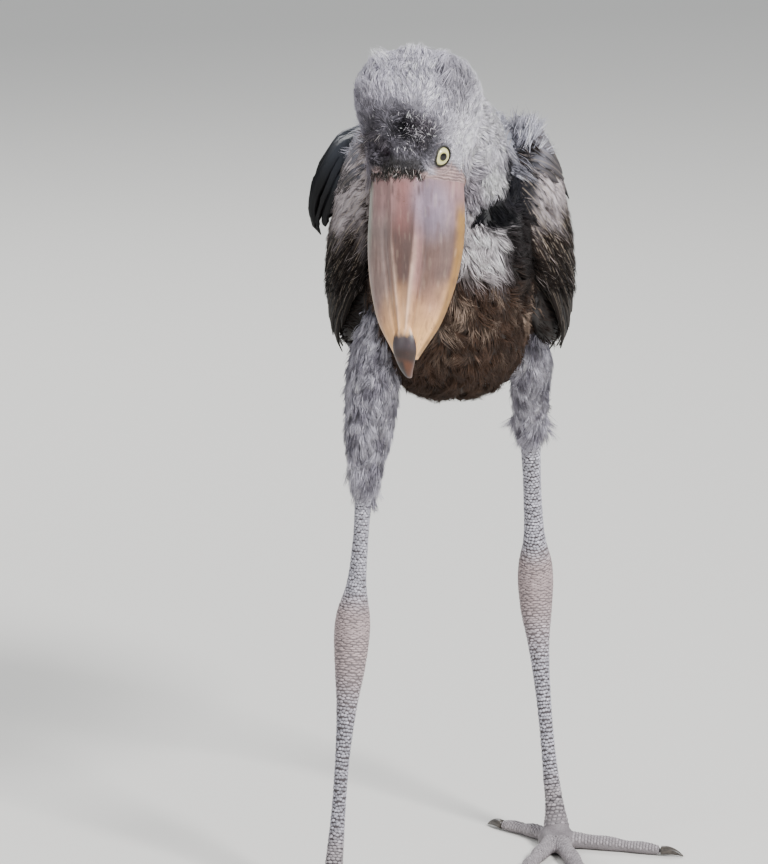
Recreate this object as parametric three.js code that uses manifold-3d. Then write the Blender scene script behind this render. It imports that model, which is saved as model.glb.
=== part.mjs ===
// A fledgling shoebill that stands with its head bowed: a still, life-size model in millimetres.
// The bird faces -Y, its left is +X and +Z is up. The last lines put the origin on the floor,
// under the middle of the whole bird. Parts that touch keep a small gap.
import * as THREE from 'three';
import { LoftGeometry } from 'three/addons/geometries/LoftGeometry.js';
import { mergeVertices } from 'three/addons/utils/BufferGeometryUtils.js';
import Module from 'manifold-3d';

const wasm = await Module();
wasm.setup();

// Driving dimensions
const touchingGap = 0.3;
const vaneThickness = 0.9;
const smallestDetail = 0.08;
const trunkHalfWidth = 84;
const headPitch = 75;
const headYaw = -20;
const headRoll = -2;
const skullCentre = new THREE.Vector3(-27, -249, 701);
const billLength = 165;
const billHalfWidth = 42.6;
const billBaseY = -50;
const eyeRadius = 11.5;
const eyeCentre = new THREE.Vector3(23.6, -31, 20.2);
const eyeAim = new THREE.Vector3(0.88, -0.28, 0.38).normalize();
const tailLength = 128;
const footHeight = 17;

const right = new THREE.Vector3(1, 0, 0);

// Finishes
const finish = (color, roughness) => new THREE.MeshStandardMaterial({ color, roughness, metalness: 0 });
const paleDown = finish(0x9b9798, 0.95);
const bellyDown = finish(0x7d736c, 0.95);
const wingFeather = finish(0x5c5755, 0.8);
const tailFeather = finish(0x4b4c54, 0.75);
const billHorn = finish(0xa08678, 0.45);
const eyeGloss = finish(0xd8d49a, 0.1);
const legSkin = finish(0x85817f, 0.75);
const clawHorn = finish(0x3c3937, 0.5);

// Smooth values between rows of [t, value, value, ...]
function smooth(rows) {
  const times = rows.map((row) => row[0]);
  const values = rows.flatMap((row) => row.slice(1));
  const between = new THREE.CubicInterpolant(times, values, rows[0].length - 1);
  return (t) => Array.from(between.evaluate(t));
}

const steps = (count) => Array.from({ length: count + 1 }, (_, i) => i / count);

// A repeatable spread of small differences, so that like pieces vary as real ones do
function differences(seed) {
  let state = seed;
  return (amount) => {
    state = (state * 16807) % 2147483647;
    return amount * (2 * (state / 2147483647) - 1);
  };
}

// A closed geometry as a solid, whichever way its faces were wound
function solid(geometry) {
  const bare = new THREE.BufferGeometry();
  bare.setAttribute('position', geometry.getAttribute('position'));
  bare.setIndex(geometry.index);
  const merged = mergeVertices(bare, 1e-3);
  const position = merged.getAttribute('position');
  const corners = [];
  const [a, b, c] = [new THREE.Vector3(), new THREE.Vector3(), new THREE.Vector3()];
  let volume = 0;
  for (let i = 0; i < merged.index.count; i += 3) {
    const [p, q, r] = [0, 1, 2].map((k) => merged.index.getX(i + k));
    if (p === q || q === r || r === p) continue;
    corners.push(p, q, r);
    [a, b, c].forEach((corner, k) => corner.fromBufferAttribute(position, [p, q, r][k]));
    volume += a.dot(b.clone().cross(c));
  }
  if (volume < 0) corners.reverse();
  const triVerts = new Uint32Array(corners);
  return new wasm.Manifold(new wasm.Mesh({ numProp: 3, vertProperties: position.array, triVerts }));
}

// The largest closed surface of a solid: sealed hollows and loose scraps are dropped
function largest(shape) {
  return shape.decompose().sort((one, other) => other.volume() - one.volume())[0];
}

function fused(shapes, cuts = []) {
  const joined = shapes.length > 1 ? wasm.Manifold.union(shapes) : shapes[0];
  return largest(cuts.reduce((left, cut) => left.subtract(cut), joined).simplify(smallestDetail));
}

function node(name, shape, material) {
  const { vertProperties, triVerts } = shape.getMesh();
  const geometry = new THREE.BufferGeometry();
  geometry.setAttribute('position', new THREE.BufferAttribute(vertProperties, 3));
  geometry.setIndex(new THREE.BufferAttribute(triVerts, 1));
  geometry.computeVertexNormals();
  const mesh = new THREE.Mesh(geometry, material);
  mesh.name = name;
  return mesh;
}

const centreOf = (ring) => ring.reduce((sum, point) => sum.add(point), new THREE.Vector3()).divideScalar(ring.length);

// Sections joined into a closed body. They have to wind one way about its length.
function loft(rings) {
  const along = centreOf(rings.at(-1)).sub(centreOf(rings[0]));
  const middle = rings[Math.floor(rings.length / 2)];
  const centre = centreOf(middle);
  const turn = middle.reduce((sum, point, i) => {
    const next = middle[(i + 1) % middle.length].clone().sub(centre);
    return sum.add(point.clone().sub(centre).cross(next));
  }, new THREE.Vector3());
  const sections = turn.dot(along) < 0 ? rings.map((ring) => [...ring].reverse()) : rings;
  return solid(new LoftGeometry(sections, { capStart: true, capEnd: true }));
}

// One section of a body: rounder or squarer than an ellipse, and narrowed towards its top
function section({ centre, across = right, up, halfWidth, above, below = above, sides, square = 2, pinch = 0 }) {
  return steps(sides).slice(0, -1).map((turn) => {
    const angle = turn * 2 * Math.PI;
    const [c, s] = [Math.cos(angle), Math.sin(angle)];
    const wide = Math.sign(c) * Math.abs(c) ** (2 / square) * halfWidth * (1 - pinch * Math.max(0, s));
    const high = Math.sign(s) * Math.abs(s) ** (2 / square) * (s > 0 ? above : below);
    return centre.clone().addScaledVector(across, wide).addScaledVector(up, high);
  });
}

// A tapering body along a path. A row is [t, x, y, z, half width, half depth].
function limb(rows, { sides, rings, grow = 0, square = 2 }) {
  const along = smooth(rows);
  const place = (t) => new THREE.Vector3(...along(t).slice(0, 3));
  return loft(
    steps(rings).map((t) => {
      const heading = place(Math.min(1, t + 0.01)).sub(place(Math.max(0, t - 0.01))).normalize();
      const across = right.clone().addScaledVector(heading, -heading.x).normalize();
      const centre = place(t).addScaledVector(heading, t === 0 ? -grow : t === 1 ? grow : 0);
      const [halfWidth, depth] = along(t).slice(3);
      const up = across.clone().cross(heading);
      return section({ centre, across, up, halfWidth: halfWidth + grow, above: depth + grow, sides, square });
    }),
  );
}

// One feather as a thin plate. Both faces are split into the same triangles, so they never cross.
// place(t) is its midline, across(t) and face(t) its two other directions.
function vane({ place, across, face, halfWidth, segments = 4, thickness = vaneThickness }) {
  const outline = smooth([[0, 0.45], [0.2, 0.8], [0.55, 1], [0.85, 0.72], [1, 0.16]]);
  const points = [];
  const faces = [];
  steps(segments).forEach((t) => {
    const reach = outline(t)[0] * halfWidth;
    [1, -1].forEach((layer) =>
      [-1, 1].forEach((edge) => {
        const corner = place(t).addScaledVector(across(t), edge * reach);
        points.push(...corner.addScaledVector(face(t), (layer * thickness) / 2));
      }),
    );
  });
  const quad = (a, b, c, d) => faces.push(a, b, c, a, c, d);
  for (let i = 0; i < segments; i++) {
    const k = i * 4;
    quad(k, k + 1, k + 5, k + 4);
    faces.push(k + 2, k + 7, k + 3, k + 2, k + 6, k + 7);
    quad(k + 2, k, k + 4, k + 6);
    quad(k + 1, k + 3, k + 7, k + 5);
  }
  const end = segments * 4;
  faces.push(0, 2, 3, 0, 3, 1);
  faces.push(end, end + 1, end + 3, end, end + 3, end + 2);
  const geometry = new THREE.BufferGeometry();
  geometry.setAttribute('position', new THREE.Float32BufferAttribute(points, 3));
  geometry.setIndex(faces);
  return solid(geometry);
}

// A tapered lock or tuft from a root, along a heading, with its tip bent towards another direction
function lock({ root, heading, towards, length, halfWidth, face }) {
  const bend = towards.clone().multiplyScalar(length * 0.35);
  const place = (t) => root.clone().addScaledVector(heading, length * t).addScaledVector(bend, t * t);
  const across = heading.clone().cross(face).normalize();
  return vane({ place, across: () => across, face: () => face, halfWidth, segments: 2, thickness: 1.6 });
}

// Trunk: sections slant from the back to the belly. Rows: t, back y, z, belly y, z, half width
const trunkRows = smooth([
  [0.0, -138, 644, -160, 616, 0.17 * trunkHalfWidth],
  [0.09, -118, 662, -186, 579, 0.5 * trunkHalfWidth],
  [0.2, -82, 675, -196, 528, 0.73 * trunkHalfWidth],
  [0.34, -35, 679, -180, 473, 0.88 * trunkHalfWidth],
  [0.48, 20, 661, -138, 438, 0.97 * trunkHalfWidth],
  [0.61, 72, 619, -75, 422, trunkHalfWidth],
  [0.74, 115, 569, -5, 416, 0.92 * trunkHalfWidth],
  [0.85, 145, 519, 60, 419, 0.74 * trunkHalfWidth],
  [0.94, 166, 479, 115, 429, 0.5 * trunkHalfWidth],
  [1.0, 178, 454, 148, 438, 0.25 * trunkHalfWidth],
]);
const bodyShift = 1;

function trunkFrame(t) {
  const [backY, backZ, bellyY, bellyZ, halfWidth] = trunkRows(t);
  const back = new THREE.Vector3(bodyShift, backY, backZ);
  const belly = new THREE.Vector3(bodyShift, bellyY, bellyZ);
  return { back, belly, halfWidth, up: back.clone().sub(belly).normalize() };
}

function trunk(grow = 0) {
  return loft(
    steps(14).map((t) => {
      const { back, belly, halfWidth, up } = trunkFrame(t);
      const backwards = right.clone().cross(up).negate();
      const centre = back.clone().lerp(belly, 0.5);
      centre.addScaledVector(backwards, t === 0 ? -grow : t === 1 ? grow : 0);
      const depth = back.distanceTo(belly) / 2 + grow;
      return section({ centre, up, halfWidth: halfWidth + grow, above: depth, sides: 24, square: 2.3 });
    }),
  );
}

// Mantle: rows of broad feathers down the back, each row over the one behind it
function mantle() {
  const vary = differences(11);
  const rows = [
    { from: 0.2, to: 0.5, count: 2, lift: 7 },
    { from: 0.32, to: 0.64, count: 3, lift: 4.5 },
    { from: 0.45, to: 0.79, count: 3, lift: 2 },
  ];
  return rows.flatMap(({ from, to, count, lift }) =>
    steps(count - 1).map((share) => {
      const side = (2 * share - 1) * 30 + vary(2);
      const place = (t) => {
        const { back, belly, halfWidth, up } = trunkFrame(from + (to - from) * t);
        const drop = (back.distanceTo(belly) / 2) * (1 - Math.sqrt(1 - (side / halfWidth) ** 2));
        const rise = -5 + (lift + 5) * Math.min(1, 1.6 * t) - drop;
        return back.addScaledVector(up, rise).add(new THREE.Vector3(side * (1 + 0.25 * t), 0, 0));
      };
      const face = () => new THREE.Vector3(side / 110, 0.35, 0.93).normalize();
      return vane({ place, across: () => right, face, halfWidth: 18 });
    }),
  );
}

// Neck: short and thick with down, from the shoulders up to the back of the bowed head
const neckRows = [
  [0, 1, -78, 582, 62, 68],
  [0.25, 0, -122, 630, 57, 62],
  [0.5, -6, -156, 668, 53, 54],
  [0.75, -14, -187, 688, 49, 45],
  [1, -20, -214, 696, 45, 40],
];

// Head, in its own frame: the bill points along -Y and the crown faces +Z
const headRows = smooth([
  // t, y, top z, bottom z, half width, pinch of the crown between the eyes
  [0, billBaseY, 30.5, -38, 42, 0.3],
  [0.12, -38, 36, -42, 45.5, 0.3],
  [0.33, -15, 45, -47, 52, 0.15],
  [0.56, 12, 50.5, -50, 57, 0],
  [0.78, 36, 46, -45, 52.5, 0],
  [0.93, 52, 31, -31, 36, 0],
  [1, 58, 12, -12, 13, 0],
]);
const crownLean = -3;

function skull(grow = 0) {
  return loft(
    steps(11).map((t) => {
      const [y, top, bottom, halfWidth, pinch] = headRows(t);
      const centre = new THREE.Vector3(crownLean * t, y + (t === 1 ? grow : 0), (top + bottom) / 2);
      const high = (top - bottom) / 2 + grow;
      const up = new THREE.Vector3(0, 0, 1);
      return section({ centre, up, halfWidth: halfWidth + grow, above: high, sides: 20, square: 2.3, pinch });
    }),
  );
}

const sided = (point, side) => new THREE.Vector3(side * point.x, point.y, point.z);

// The line of the mouth, as a height along the bill from its base at 0 to its tip at 1
const mouthLine = smooth([[0, -6], [0.22, -9.5], [0.5, -8], [0.75, -4.5], [1, -4]]);

function eyeball(side, grow = 0) {
  const geometry = new THREE.SphereGeometry(eyeRadius + grow, 14, 9);
  return solid(geometry.translate(...sided(eyeCentre, side)));
}

// The lids: a fleshy ring round the bare part of the eyeball
function lids(side) {
  const aim = sided(eyeAim, side);
  const geometry = new THREE.TorusGeometry(10.3, 2.2, 6, 16);
  geometry.applyQuaternion(new THREE.Quaternion().setFromUnitVectors(new THREE.Vector3(0, 0, 1), aim));
  return solid(geometry.translate(...sided(eyeCentre, side).addScaledVector(aim, 7.4)));
}

// The corner of the mouth runs a little way back into the cheek
function gapeGroove(side) {
  const groove = new THREE.BoxGeometry(26, 20, 1.2);
  return solid(groove.translate(side * 46, billBaseY + 8, mouthLine(0)[0]));
}

// Wispy crest at the nape, feather by feather. Rows: turn about the crown, how far back, length
const crestLocks = [
  [-1.1, 27, 15],
  [-0.62, 38, 17],
  [-0.3, 33, 15],
  [-0.02, 41, 18],
  [0.22, 35, 16],
  [0.5, 40, 18],
  [0.92, 31, 16],
];

function crest() {
  const vary = differences(5);
  return crestLocks.map(([turn, back, length]) => {
    const side = Math.sin(turn);
    const heading = new THREE.Vector3(0.5 * side, 0.85, 0.35).normalize();
    return lock({
      root: new THREE.Vector3(side * 38, back, 27 - 16 * Math.abs(side)),
      heading,
      towards: new THREE.Vector3(vary(0.7), 0, 0.6),
      length,
      halfWidth: 4,
      face: new THREE.Vector3(0.4 * side, -0.38, 0.9).normalize(),
    });
  });
}

function head() {
  const sides = [1, -1];
  const pieces = [skull(), ...sides.map(lids), ...crest()];
  const cuts = [...sides.map((side) => eyeball(side, touchingGap)), ...sides.map(gapeGroove)];
  return fused(pieces, cuts);
}

// Bill. Rows along it: t, half width as a share of the widest, height of the culmen
const billRows = smooth([
  [0, 0.95, 30],
  [0.17, 0.99, 24],
  [0.32, 1, 19.5],
  [0.47, 0.94, 16],
  [0.62, 0.81, 13],
  [0.75, 0.63, 10.5],
  [0.86, 0.37, 8.5],
  [0.91, 0.24, 7.5],
]);
const billPoint = (t, x, z) => new THREE.Vector3(x, billBaseY - touchingGap - t * billLength, z);

// Across the upper bill: a keel in the middle, a groove each side of it, then rounded flanks
function domeHeight(share) {
  const flank = (1 - share ** 2.6) ** 0.55;
  const keel = 0.13 * Math.exp(-((share / 0.13) ** 2));
  const groove = 0.07 * Math.exp(-(((share - 0.27) / 0.09) ** 2));
  return 0.87 * flank + keel - groove;
}

function upperBill() {
  const shares = [0.98, 0.88, 0.7, 0.5, 0.36, 0.27, 0.15, 0];
  const across = [...shares, ...shares.slice(0, -1).reverse().map((share) => -share)];
  const rings = steps(13).map((step) => {
    const t = step * 0.91;
    const [wide, culmen] = billRows(t);
    const halfWidth = wide * billHalfWidth;
    const edge = mouthLine(t)[0] + touchingGap / 2;
    const dome = across.map((share) =>
      billPoint(t, share * halfWidth, edge + (culmen - edge) * domeHeight(Math.abs(share))),
    );
    const palate = [-0.99, 0, 0.99].map((share) => billPoint(t, share * halfWidth, edge));
    return [...dome, ...palate];
  });
  const nostrils = [1, -1].map((side) => {
    const slit = new THREE.SphereGeometry(1, 8, 6).scale(1.7, 6, 4);
    return solid(slit.translate(side * 11.5, billBaseY - 12, 25.5));
  });
  return fused([loft(rings), billNail()], nostrils);
}

// The hooked nail at the tip of the bill
function billNail() {
  return limb(
    [
      [0, 0, -186, 1.5, 9, 5.5],
      [0.35, 0, -199, 2, 9.5, 6.8],
      [0.7, 0, -210, -4, 6.5, 5.6],
      [0.9, 0, -214.5, -12, 3.2, 3.4],
      [1, 0, -215.5, -17, 0.8, 0.9],
    ],
    { sides: 12, rings: 8 },
  );
}

function lowerBill() {
  const keelRows = smooth([[0, -37], [0.3, -35.5], [0.6, -27], [0.8, -18], [0.87, -14]]);
  const shares = [0.97, 0.9, 0.72, 0.5, 0.25, 0];
  const across = [...shares, ...shares.slice(0, -1).reverse().map((share) => -share)];
  const rings = steps(11).map((step) => {
    const t = step * 0.85;
    const [wide] = billRows(t);
    const halfWidth = wide * billHalfWidth - 1.5;
    const edge = mouthLine(t)[0] - touchingGap / 2;
    const depth = edge - keelRows(t)[0];
    const hull = across.map((share) =>
      billPoint(t, share * halfWidth, edge - depth * (1 - Math.abs(share) ** 3) ** 0.6),
    );
    const top = [-0.985, 0, 0.985].map((share) => billPoint(t, share * halfWidth, edge));
    return [...hull, ...top];
  });
  return fused([loft(rings)]);
}

// Wing: the outer face of the folded wing as a sheet, s from the leading edge at 0 to the wing tip
// at 1 and h from its top edge at 0 to its bottom edge at 1.
// Rows: s, top x, y, z, bottom x, y, z, outward bulge
const wingRows = smooth([
  [0.0, 44, -104, 636, 74, -126, 500, 4],
  [0.1, 56, -86, 658, 84, -104, 478, 20],
  [0.3, 62, -28, 662, 88, -36, 464, 25],
  [0.55, 58, 62, 614, 80, 46, 438, 24],
  [0.78, 46, 135, 516, 62, 126, 404, 16],
  [1.0, 34, 206, 408, 44, 206, 380, 4],
]);

function wingPoint(s, h, lift = 0) {
  const at = (s1, h1) => {
    const row = wingRows(s1);
    const point = new THREE.Vector3(...row.slice(0, 3)).lerp(new THREE.Vector3(...row.slice(3, 6)), h1);
    const inside = Math.min(1, Math.max(0, h1));
    point.x += row[6] * Math.sin(Math.PI * inside) ** 0.55 + bodyShift;
    return point;
  };
  const point = at(s, h);
  const alongS = at(s + 0.02, h).sub(at(s - 0.02, h));
  const alongH = at(s, Math.min(1, h + 0.04)).sub(at(s, Math.max(0, h - 0.04)));
  const outwards = alongH.cross(alongS).normalize();
  if (outwards.x < 0) outwards.negate();
  return { point: point.addScaledVector(outwards, lift), outwards };
}

// The fleshy part of the wing, from its leading edge to a little past the wrist
function wingCore() {
  const reach = 0.6;
  const thickness = smooth([[0, 8], [0.25, 34], [0.6, 34], [0.85, 22], [1, 8]]);
  return loft(
    steps(7).map((step) => {
      const s = step * reach;
      const outer = steps(6).map((h) => wingPoint(s, 0.02 + 0.96 * h, -1.5).point);
      const inner = steps(2).map((h) => {
        const point = wingPoint(s, 0.85 - 0.7 * h, -1.5).point;
        point.x -= thickness(step)[0];
        return point;
      });
      return [...outer, ...inner];
    }),
  );
}

// Tiers of wing feathers. from and to are the roots' [s, h] at the two ends of the tier, and
// fromTip and toTip those of the tips. Each tier lies over the one before it.
const wingTiers = [
  { count: 5, from: [0.3, 0.95], to: [0.4, 0.62], fromTip: [1, 0.95], toTip: [0.86, 0.5], halfWidth: 13, lift: 0.6 },
  { count: 5, from: [0.2, 0.84], to: [0.44, 0.38], fromTip: [0.64, 0.98], toTip: [0.84, 0.36], halfWidth: 17, lift: 2 },
  { count: 2, from: [0.36, 0.3], to: [0.44, 0.14], fromTip: [0.8, 0.26], toTip: [0.84, 0.06], halfWidth: 15, lift: 3 },
  { count: 5, from: [0.08, 0.8], to: [0.36, 0.24], fromTip: [0.4, 0.97], toTip: [0.64, 0.26], halfWidth: 16, lift: 3.8 },
  { count: 4, from: [0.03, 0.62], to: [0.26, 0.18], fromTip: [0.22, 0.96], toTip: [0.46, 0.3], halfWidth: 16, lift: 5.6 },
  { count: 4, from: [0.01, 0.3], to: [0.16, 0.1], fromTip: [0.08, 0.78], toTip: [0.32, 0.34], halfWidth: 15, lift: 7 },
  { count: 4, from: [0.08, 0.02], to: [0.36, 0], fromTip: [0.24, 0.36], toTip: [0.66, 0.14], halfWidth: 15, lift: 8.6 },
];

const between = (one, other, share) => one.map((value, k) => value + (other[k] - value) * share);

// A feather that follows the wing sheet from a root to a tip, rooted in the core. Its tip can flare.
function wingVane({ root, tip, halfWidth, lift, flare }) {
  const at = (t) => {
    const [s, h] = between(root, tip, t);
    return wingPoint(s, h, -4 + (lift + 4) * Math.min(1, 3 * t) + flare * t * t);
  };
  const frame = (t) => {
    const ahead = at(Math.min(1, t + 0.05)).point.sub(at(Math.max(0, t - 0.05)).point).normalize();
    const across = at(t).outwards.cross(ahead).normalize().applyAxisAngle(ahead, 0.13);
    return { across, face: ahead.clone().cross(across).normalize() };
  };
  return vane({
    place: (t) => at(t).point,
    across: (t) => frame(t).across,
    face: (t) => frame(t).face,
    halfWidth,
    segments: 3,
  });
}

// The scapulars, last of the tiers, stand away from the wing: more on one side than on the other
function wingLeft(seed, scapularFlare) {
  const vary = differences(seed);
  const vanes = wingTiers.flatMap((tier) =>
    steps(tier.count - 1).map((share) =>
      wingVane({
        root: between(tier.from, tier.to, share),
        tip: between(tier.fromTip, tier.toTip, share).map((value) => value + vary(0.015)),
        halfWidth: tier.halfWidth + vary(0.8),
        lift: tier.lift + vary(0.15),
        flare: tier === wingTiers.at(-1) ? scapularFlare * (1 - share) : 0,
      }),
    ),
  );
  return wasm.Manifold.union([wingCore(), ...vanes]);
}

// Tail: a fleshy stub and ten feathers in a narrow fan, the middle ones on top
function tail() {
  const root = new THREE.Vector3(bodyShift, 158, 460);
  const heading = new THREE.Vector3(0, 0.62, -0.785);
  const upwards = new THREE.Vector3(0, 0.785, 0.62);
  const stub = limb(
    [
      [0, bodyShift, 140, 474, 30, 22],
      [0.5, bodyShift, 166, 450, 34, 17],
      [1, bodyShift, 186, 425, 27, 9],
    ],
    { sides: 16, rings: 5 },
  );
  const count = 9;
  const vary = differences(23);
  const vanes = steps(count - 1).map((share) => {
    const place = (2 * share - 1) * (count / 2);
    const fan = place * 0.05;
    const lift = 3 - 1.3 * Math.abs(place) - (place < 0 ? 0.65 : 0);
    const direction = heading.clone().applyAxisAngle(upwards, -fan);
    const across = direction.clone().cross(upwards).normalize();
    const length = tailLength * (1 - 0.012 * place * place) + vary(2);
    const start = root.clone().addScaledVector(right, place * 4).addScaledVector(upwards, lift);
    return vane({
      place: (t) => start.clone().addScaledVector(direction, length * t).addScaledVector(upwards, 5 * t * t),
      across: () => across,
      face: () => upwards,
      halfWidth: 13,
      segments: 3,
    });
  });
  return fused([stub, ...vanes], [trunk(touchingGap)]);
}

// Legs. The bird's right leg stands a step ahead of its left one.
const legs = {
  left: {
    thigh: [
      [0, 56, -64, 530, 10, 16],
      [0.12, 63, -59.2, 507.8, 20, 29],
      [0.34, 70, -43.5, 465.5, 23.5, 31],
      [0.6, 72, -19.9, 423.2, 20.5, 24],
      [0.82, 72.5, -5.9, 397, 16.5, 18],
      [1, 73, 3.8, 378.8, 10.5, 11],
    ],
    shin: [
      [0, 73, 3.8, 378.8, 9.5, 9.5],
      [0.45, 76, 26.3, 312.3, 8.6, 9],
      [0.72, 78, 36.9, 272, 10.5, 12],
      [0.88, 79, 43.8, 248.8, 15.5, 17],
      [1, 79.3, 46.4, 232.7, 16.3, 18.5],
    ],
    tarsus: [
      [0, 79.3, 46.4, 232.7, 16.3, 18.5],
      [0.12, 80, 43.4, 207.5, 14.6, 16],
      [0.25, 82, 37.4, 179.3, 10.4, 12],
      [0.42, 85.5, 28.9, 141, 7.5, 9],
      [0.75, 93, 10.9, 62.4, 7.4, 8.5],
      [0.92, 97, 2.7, 29.2, 9.8, 10],
      [0.97, 98, -2.3, 17.1, 12, 12.5],
      [1, 98, -6, 8, 13, 13],
    ],
    foot: [98, -8],
    toes: { inner: [-20, 98], middle: [12, 128], outer: [79, 98], hind: [-153, 76] },
  },
  right: {
    thigh: [
      [0, -46, -92, 532, 10, 16],
      [0.12, -54, -105.2, 509.8, 21, 29],
      [0.34, -64, -123.5, 465.5, 27, 33.5],
      [0.6, -69, -140.7, 418.1, 25, 28],
      [0.82, -72, -145.4, 384.9, 18.5, 20],
      [1, -74, -148.5, 360.7, 10, 11.5],
    ],
    shin: [
      [0, -74, -148.5, 360.7, 8, 9],
      [0.4, -77.5, -152.6, 311.3, 7.2, 8.5],
      [0.68, -81, -156.2, 274, 9.5, 11.5],
      [0.86, -83.5, -158.3, 250.9, 15, 17],
      [1, -84.6, -158.7, 234.7, 16, 18.5],
    ],
    tarsus: [
      [0, -84.6, -158.7, 234.7, 16, 18.5],
      [0.14, -86.5, -163.5, 203.5, 13.6, 15.5],
      [0.27, -89, -169.3, 173.3, 9.6, 11.5],
      [0.42, -92, -177, 139, 7.2, 9],
      [0.75, -98, -193.1, 62.4, 7.2, 8.5],
      [0.92, -101, -202.8, 29.2, 9.6, 10],
      [0.97, -102, -207.3, 17.1, 12, 12.5],
      [1, -102, -211, 8, 13, 13],
    ],
    foot: [-102, -213],
    toes: { inner: [19, 98], middle: [-11, 128], outer: [-62, 100], hind: [-172, 76] },
  },
};

// Ragged locks of down that hang round the lower end of the feathered thigh
function hemLocks({ thigh, shin }, seed) {
  const vary = differences(seed);
  const [, x, y, z, halfWidth, depth] = thigh.at(-2);
  const down = new THREE.Vector3(...shin[1].slice(1, 4)).sub(new THREE.Vector3(x, y, z)).normalize();
  const count = 8;
  return steps(count).slice(0, -1).map((share) => {
    const turn = share * 2 * Math.PI + vary(0.12);
    const outwards = new THREE.Vector3(Math.cos(turn), Math.sin(turn), 0);
    const root = new THREE.Vector3(x + Math.cos(turn) * (halfWidth - 3), y + Math.sin(turn) * (depth - 3), z);
    return lock({
      root,
      heading: down.clone().addScaledVector(outwards, -0.1).normalize(),
      towards: outwards.clone().multiplyScalar(0.15),
      length: 30 + vary(7),
      halfWidth: 9,
      face: outwards.clone().addScaledVector(down, -outwards.dot(down)).normalize(),
    });
  });
}

const thighBody = (leg, grow = 0) => limb(leg.thigh, { sides: 18, rings: 7, grow });
const shinBody = (leg, grow = 0) => limb(leg.shin, { sides: 12, rings: 8, grow });
const tarsusBody = (leg, grow = 0) => limb(leg.tarsus, { sides: 12, rings: 10, grow });

// The ball of the foot, flat where it stands
function footPad([x, y], grow = 0) {
  const rows = [[0, 14, 15], [5, 17, 18], [11, 15.5, 17], [footHeight, 13, 13.5]];
  const up = new THREE.Vector3(0, 1, 0);
  return loft(
    rows.map(([z, halfWidth, depth]) => {
      const centre = new THREE.Vector3(x, y, z === 0 ? -grow : z);
      return section({ centre, up, halfWidth: halfWidth + grow, above: depth + grow, sides: 16 });
    }),
  );
}

const onFloor = (point) => new THREE.Vector3(point.x, point.y, Math.max(0, point.z));

// A toe runs straight out from the ball of the foot with a slight curve, and rests on flat pads
function toeFrame([x, y], [angle, length], t) {
  const heading = THREE.MathUtils.degToRad(angle * (1 - 0.08 * t));
  const out = new THREE.Vector3(Math.sin(heading), -Math.cos(heading), 0);
  const start = new THREE.Vector3(x, y, 0);
  return { place: start.addScaledVector(out, 6 + (length - 6) * t), out };
}

function toeBody(foot, spec, grow = 0) {
  const rows = smooth([[0, 9.5, 9], [0.25, 8, 7.4], [0.5, 7.6, 7], [0.62, 6.7, 6], [0.8, 6.9, 6.2], [1, 4.8, 5]]);
  return loft(
    steps(7).map((t) => {
      const [halfWidth, height] = rows(t);
      const { place, out } = toeFrame(foot, spec, t);
      const across = new THREE.Vector3(-out.y, out.x, 0);
      const centre = place.setZ(height - 1.2);
      const size = { halfWidth: halfWidth + grow, above: height + grow, sides: 8 };
      const ring = section({ centre, across, up: new THREE.Vector3(0, 0, 1), ...size });
      return grow ? ring : ring.map(onFloor);
    }),
  );
}

// The middle toe is whole, and the ones beside it are cut back where they meet it
function toe(leg, digit) {
  const { foot, toes } = leg;
  const rooms = [footPad(foot, touchingGap), tarsusBody(leg, touchingGap)];
  if (digit !== 'middle') rooms.push(toeBody(foot, toes.middle, touchingGap));
  return fused([toeBody(foot, toes[digit])], rooms);
}

// A long, gently curved claw that carries on from the toe to the floor
function claw(foot, spec) {
  const rows = smooth([[0, 4.2, 3.9, 4.6], [0.45, 3.6, 3.4, 4.9], [0.8, 1.9, 1.9, 3.2], [1, 0.5, 0.5, 1]]);
  const length = 20;
  const { place, out } = toeFrame(foot, spec, 1);
  const across = new THREE.Vector3(-out.y, out.x, 0);
  const rings = steps(4).map((t) => {
    const [halfWidth, height, z] = rows(t);
    const centre = place.clone().addScaledVector(out, touchingGap + length * t).setZ(z);
    return section({ centre, across, up: new THREE.Vector3(0, 0, 1), halfWidth, above: height, sides: 8 });
  });
  return fused([loft(rings.map((ring) => ring.map(onFloor)))]);
}

// Assembly
const bird = new THREE.Group();

const headGroup = new THREE.Group();
headGroup.position.copy(skullCentre);
const { degToRad } = THREE.MathUtils;
headGroup.rotation.set(degToRad(headPitch), degToRad(headRoll), degToRad(headYaw), 'ZYX');
headGroup.updateMatrix();
headGroup.add(
  node('head', head(), paleDown),
  node('upper_bill', upperBill(), billHorn),
  node('lower_bill', lowerBill(), billHorn),
  node('eye_left', eyeball(1), eyeGloss),
  node('eye_right', eyeball(-1), eyeGloss),
);
bird.add(headGroup);

const trunkRoom = trunk(touchingGap);
const headRoom = skull(touchingGap).transform(headGroup.matrix.toArray());
const neckBody = (grow = 0) => limb(neckRows, { sides: 20, rings: 7, grow });
bird.add(node('torso', fused([trunk(), ...mantle()], [neckBody(touchingGap)]), bellyDown));
bird.add(node('neck', fused([neckBody()], [headRoom, trunkRoom]), paleDown));
bird.add(node('tail', tail(), tailFeather));

const thighRoom = Object.values(legs).map((leg) => thighBody(leg, touchingGap));
const wings = { left: wingLeft(31, 5), right: wingLeft(47, 17).mirror([1, 0, 0]).translate([2 * bodyShift, 0, 0]) };
for (const [side, wing] of Object.entries(wings)) {
  bird.add(node(`wing_${side}`, fused([wing], [trunkRoom, neckBody(touchingGap), ...thighRoom]), wingFeather));
}

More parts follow.
